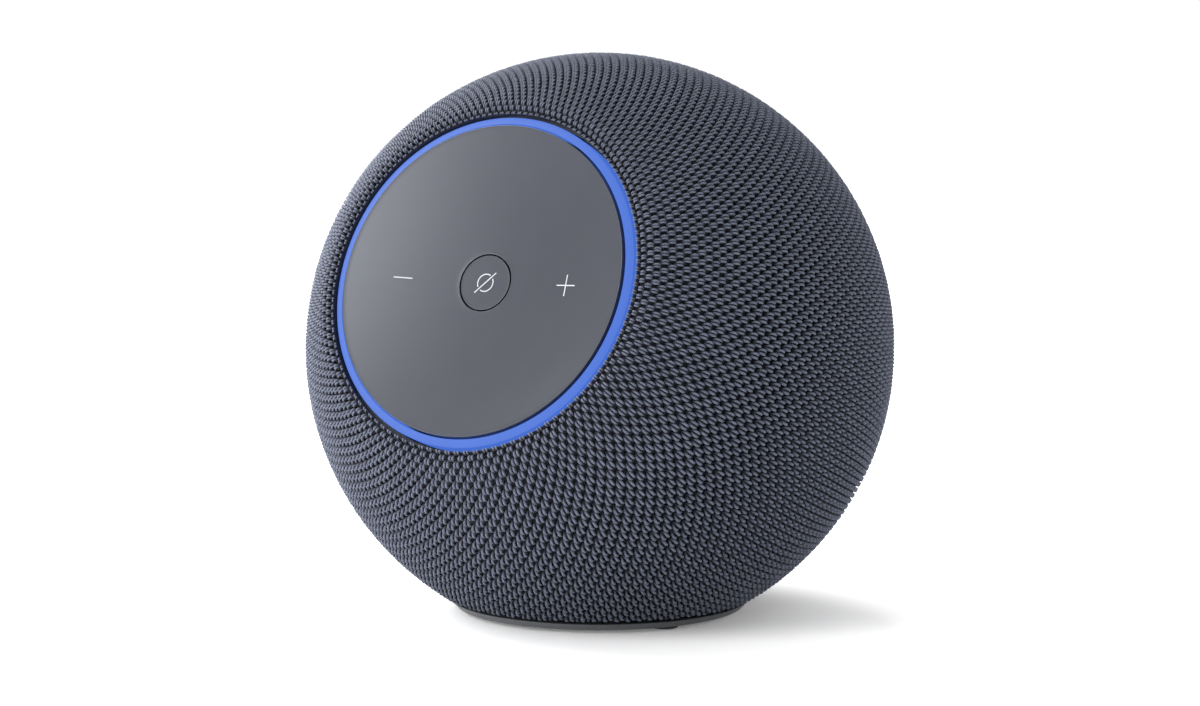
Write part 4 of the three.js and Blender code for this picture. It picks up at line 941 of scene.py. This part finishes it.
def seat(node):
    """The middle and radius of an upright round node, in the ball's frame."""
    low, high = (np.array(corner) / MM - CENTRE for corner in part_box(node))
    return ((low + high) / 2)[:2], (high[0] - low[0]) / 2


def add_foot(number):
    node = f"foot_{number}"
    low, high = (np.array(corner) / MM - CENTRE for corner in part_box(node))
    middle, radius = seat(node)
    points, faces = upright(filleted([
        (0, low[2], 0), (radius, low[2], 0.25), (radius, high[2], 0.1), (0, high[2], 0),
    ]), FINE, middle)
    foot = mesh_object(f"foot_pad_{number}", on_ball(points), faces)
    shade(foot.data)
    finish_piece(foot, FINISHES["rubber"], "root", [node])


def add_screw(number):
    """A pan-head screw with a six-lobed recess."""
    node = f"base_screw_{number}"
    low, high = (np.array(corner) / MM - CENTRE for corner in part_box(node))
    middle, radius = seat(node)
    head = low[2] + SCREW_HEAD
    points, faces = upright(filleted([
        (0, low[2], 0), (radius * 0.92, low[2], 0.3), (radius, head, 0.1),
        (SCREW_SHANK, head, 0), (SCREW_SHANK, high[2], 0.2), (0, high[2], 0),
    ]), FINE, middle)
    screw = mesh_object(f"base_fixing_{number}", on_ball(points), faces)
    lobes = [(RECESS_RADIUS + RECESS_LOBES * math.cos(6 * a)) * np.array([math.cos(a), math.sin(a)])
             for a in np.arange(FINE) * TURN / FINE]
    recess, sides = prism(np.array(lobes) + middle, low[2] - 1, low[2] + RECESS_DEPTH)
    cut(screw, mesh_object("recess_tool", on_ball(recess), sides))
    shade(screw.data, 30)
    finish_piece(screw, FINISHES["steel"], "root", [node])


def add_inlet():
    """The pocket's bezel, the jack and its contact."""
    width, height = INLET_HIGH[0] - INLET_LOW[0], INLET_HIGH[2] - INLET_LOW[2]
    back = INLET_LOW[1] - CENTRE[1]
    wide, high = width - 2 * BEZEL_WALL, height - 2 * BEZEL_WALL
    outer, inner = stadium(width, height), stadium(wide, high)
    flared = stadium(wide + 2 * BEZEL_EDGE, high + 2 * BEZEL_EDGE)

    def surface(outline, drop):
        """The ball's surface, that far inside it, over an outline."""
        reach = BALL - BEZEL_SUNK - drop
        return [math.sqrt(reach ** 2 - x ** 2 - (INLET_HEIGHT + y) ** 2) for x, y in outline]

    rings = [
        [(x, y, back) for x, y in outer],
        [(x, y, z) for (x, y), z in zip(outer, surface(outer, BEZEL_EDGE))],
        [(x * 0.99, y * 0.98, z) for (x, y), z in zip(outer, surface(outer, 0))],
        [(x, y, z) for (x, y), z in zip(flared, surface(flared, 0))],
        [(x, y, z) for (x, y), z in zip(inner, surface(inner, BEZEL_EDGE))],
        [(x, y, back + BEZEL_FLOOR) for x, y in inner],
    ]
    count = len(outer)
    points = np.array([p for ring in rings for p in ring])
    bezel = mesh_object("inlet_surround", on_inlet(points), skinned(len(rings), count))
    jack_low, jack_high = (np.array(corner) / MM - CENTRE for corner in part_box("dc_jack"))
    pin_low, pin_high = (np.array(corner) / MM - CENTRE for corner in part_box("dc_jack_pin"))
    hole = turned(rod(PLUG_BORE + SEAT_ROOM, back - 1, back + BEZEL_FLOOR + 1), FINE)
    cut(bezel, mesh_object("hole_tool", *place_inlet(hole)))
    shade(bezel.data, 30)
    finish_piece(bezel, FINISHES["shell"], "root", ["inlet_bezel"])

    x, y = jack_high[0], (jack_high[2] - jack_low[2]) / 2
    body = filleted([(-x, -y, 0.4), (x, -y, 0.4), (x, y, 0.4), (-x, y, 0.4)])
    jack = mesh_object("jack_socket", *place_inlet(prism(body, jack_low[1], jack_high[1])))
    barrel = turned(rod(PLUG_BORE, jack_high[1] - PLUG_DEPTH, jack_high[1] + 1), FINE)
    cut(jack, mesh_object("bore_tool", *place_inlet(barrel)))
    shade(jack.data, 30)
    finish_piece(jack, FINISHES["chip"], "root", ["dc_jack"])
    radius = pin_high[0]
    contact = turned(filleted([
        (0, pin_low[1], 0), (radius, pin_low[1], 0), (radius, pin_high[1], 0.5), (0, pin_high[1], 0),
    ]), FINE)
    pin = mesh_object("jack_contact", *place_inlet(contact))
    shade(pin.data)
    finish_piece(pin, FINISHES["steel"], "root", ["dc_jack_pin"])


def place_inlet(shape):
    points, faces = shape
    return on_inlet(points), faces


# ---- Studio ----------------------------------------------------------------------------------

CAMERA_AZIMUTH, CAMERA_ELEVATION = 30.55, 5.88
CAMERA_DISTANCE = 10 * BALL
CAMERA_LENS = 88.13
CAMERA_DROP = 1.07  # of the point that it looks at, under the ball's centre
WORLD_LIGHT = 1.03
FLOOR_GLOW = 0.14
FLOOR_REACH = 40000
FLOOR_GAP = 0.1  # under the feet
LIGHTS = [  # name, azimuth, elevation, distance and size in metres, power in watts
    ("key", -104, 42, 1.0, (1.2, 1.0), 30.0),
    ("low", -40, -1, 0.9, (0.6, 0.2), 8.0),
    ("front", -16, 29, 0.9, (0.20, 0.5), 4.8),
]


def direction(azimuth, elevation):
    """Away from the object. Azimuth 0 is in front of it, and 90 to its right."""
    a, e = math.radians(azimuth), math.radians(elevation)
    return np.array([math.sin(a) * math.cos(e), -math.cos(a) * math.cos(e), math.sin(e)])


def add_camera():
    camera = bpy.data.objects.new("camera", bpy.data.cameras.new("camera"))
    bpy.context.scene.collection.objects.link(camera)
    towards = direction(CAMERA_AZIMUTH, CAMERA_ELEVATION)
    up = np.cross(towards, [-towards[1], towards[0], 0])
    target = CENTRE - CAMERA_DROP * up / np.linalg.norm(up)
    place = CENTRE + CAMERA_DISTANCE * towards
    camera.location = place * MM
    camera.rotation_euler = Vector(target - place).to_track_quat("-Z", "Y").to_euler()
    camera.data.lens = CAMERA_LENS
    camera.data.sensor_width = 36
    bpy.context.scene.camera = camera


def add_light(name, azimuth, elevation, distance, size, power):
    lamp = bpy.data.lights.new(name, "AREA")
    lamp.shape, lamp.size, lamp.size_y = "RECTANGLE", size[0], size[1]
    lamp.energy = power
    light = bpy.data.objects.new(name, lamp)
    place = CENTRE * MM + direction(azimuth, elevation) * distance
    light.location = place
    light.rotation_euler = Vector(CENTRE * MM - place).to_track_quat("-Z", "Y").to_euler()
    bpy.context.scene.collection.objects.link(light)


def add_studio():
    scene = bpy.context.scene
    scene.view_settings.view_transform = "Standard"
    scene.view_settings.look = "None"
    world = bpy.data.worlds.new("studio")
    world.use_nodes = True
    world.node_tree.nodes["Background"].inputs["Color"].default_value = (1, 1, 1, 1)
    world.node_tree.nodes["Background"].inputs["Strength"].default_value = WORLD_LIGHT
    scene.world = world
    reach = FLOOR_REACH
    corners = [(-reach, -reach, 0), (reach, -reach, 0), (reach, reach, 0), (-reach, reach, 0)]
    floor = mesh_object("studio_floor", corners, [(0, 1, 2, 3)])
    floor.location.z = -FLOOR_GAP * MM
    finish = Finish("floor_paint", Roughness=0.9)
    finish.shader.inputs["Specular IOR Level"].default_value = 0.1
    finish.shader.inputs["Emission Color"].default_value = (1, 1, 1, 1)
    finish.shader.inputs["Emission Strength"].default_value = FLOOR_GLOW
    finish.colour(finish.shades(finish.noise(300), (0.93, 0.93, 0.93), 0.01))
    floor.data.materials.append(finish.material)
    scene.collection.objects.link(floor)
    for light in LIGHTS:
        add_light(*light)


paint_cad_nodes()
add_camera()
add_cover()
add_plate()
add_button()
add_ring()
add_marks()
add_pad()
add_spider()
add_surround()
add_base()
add_inlet()
add_studio()
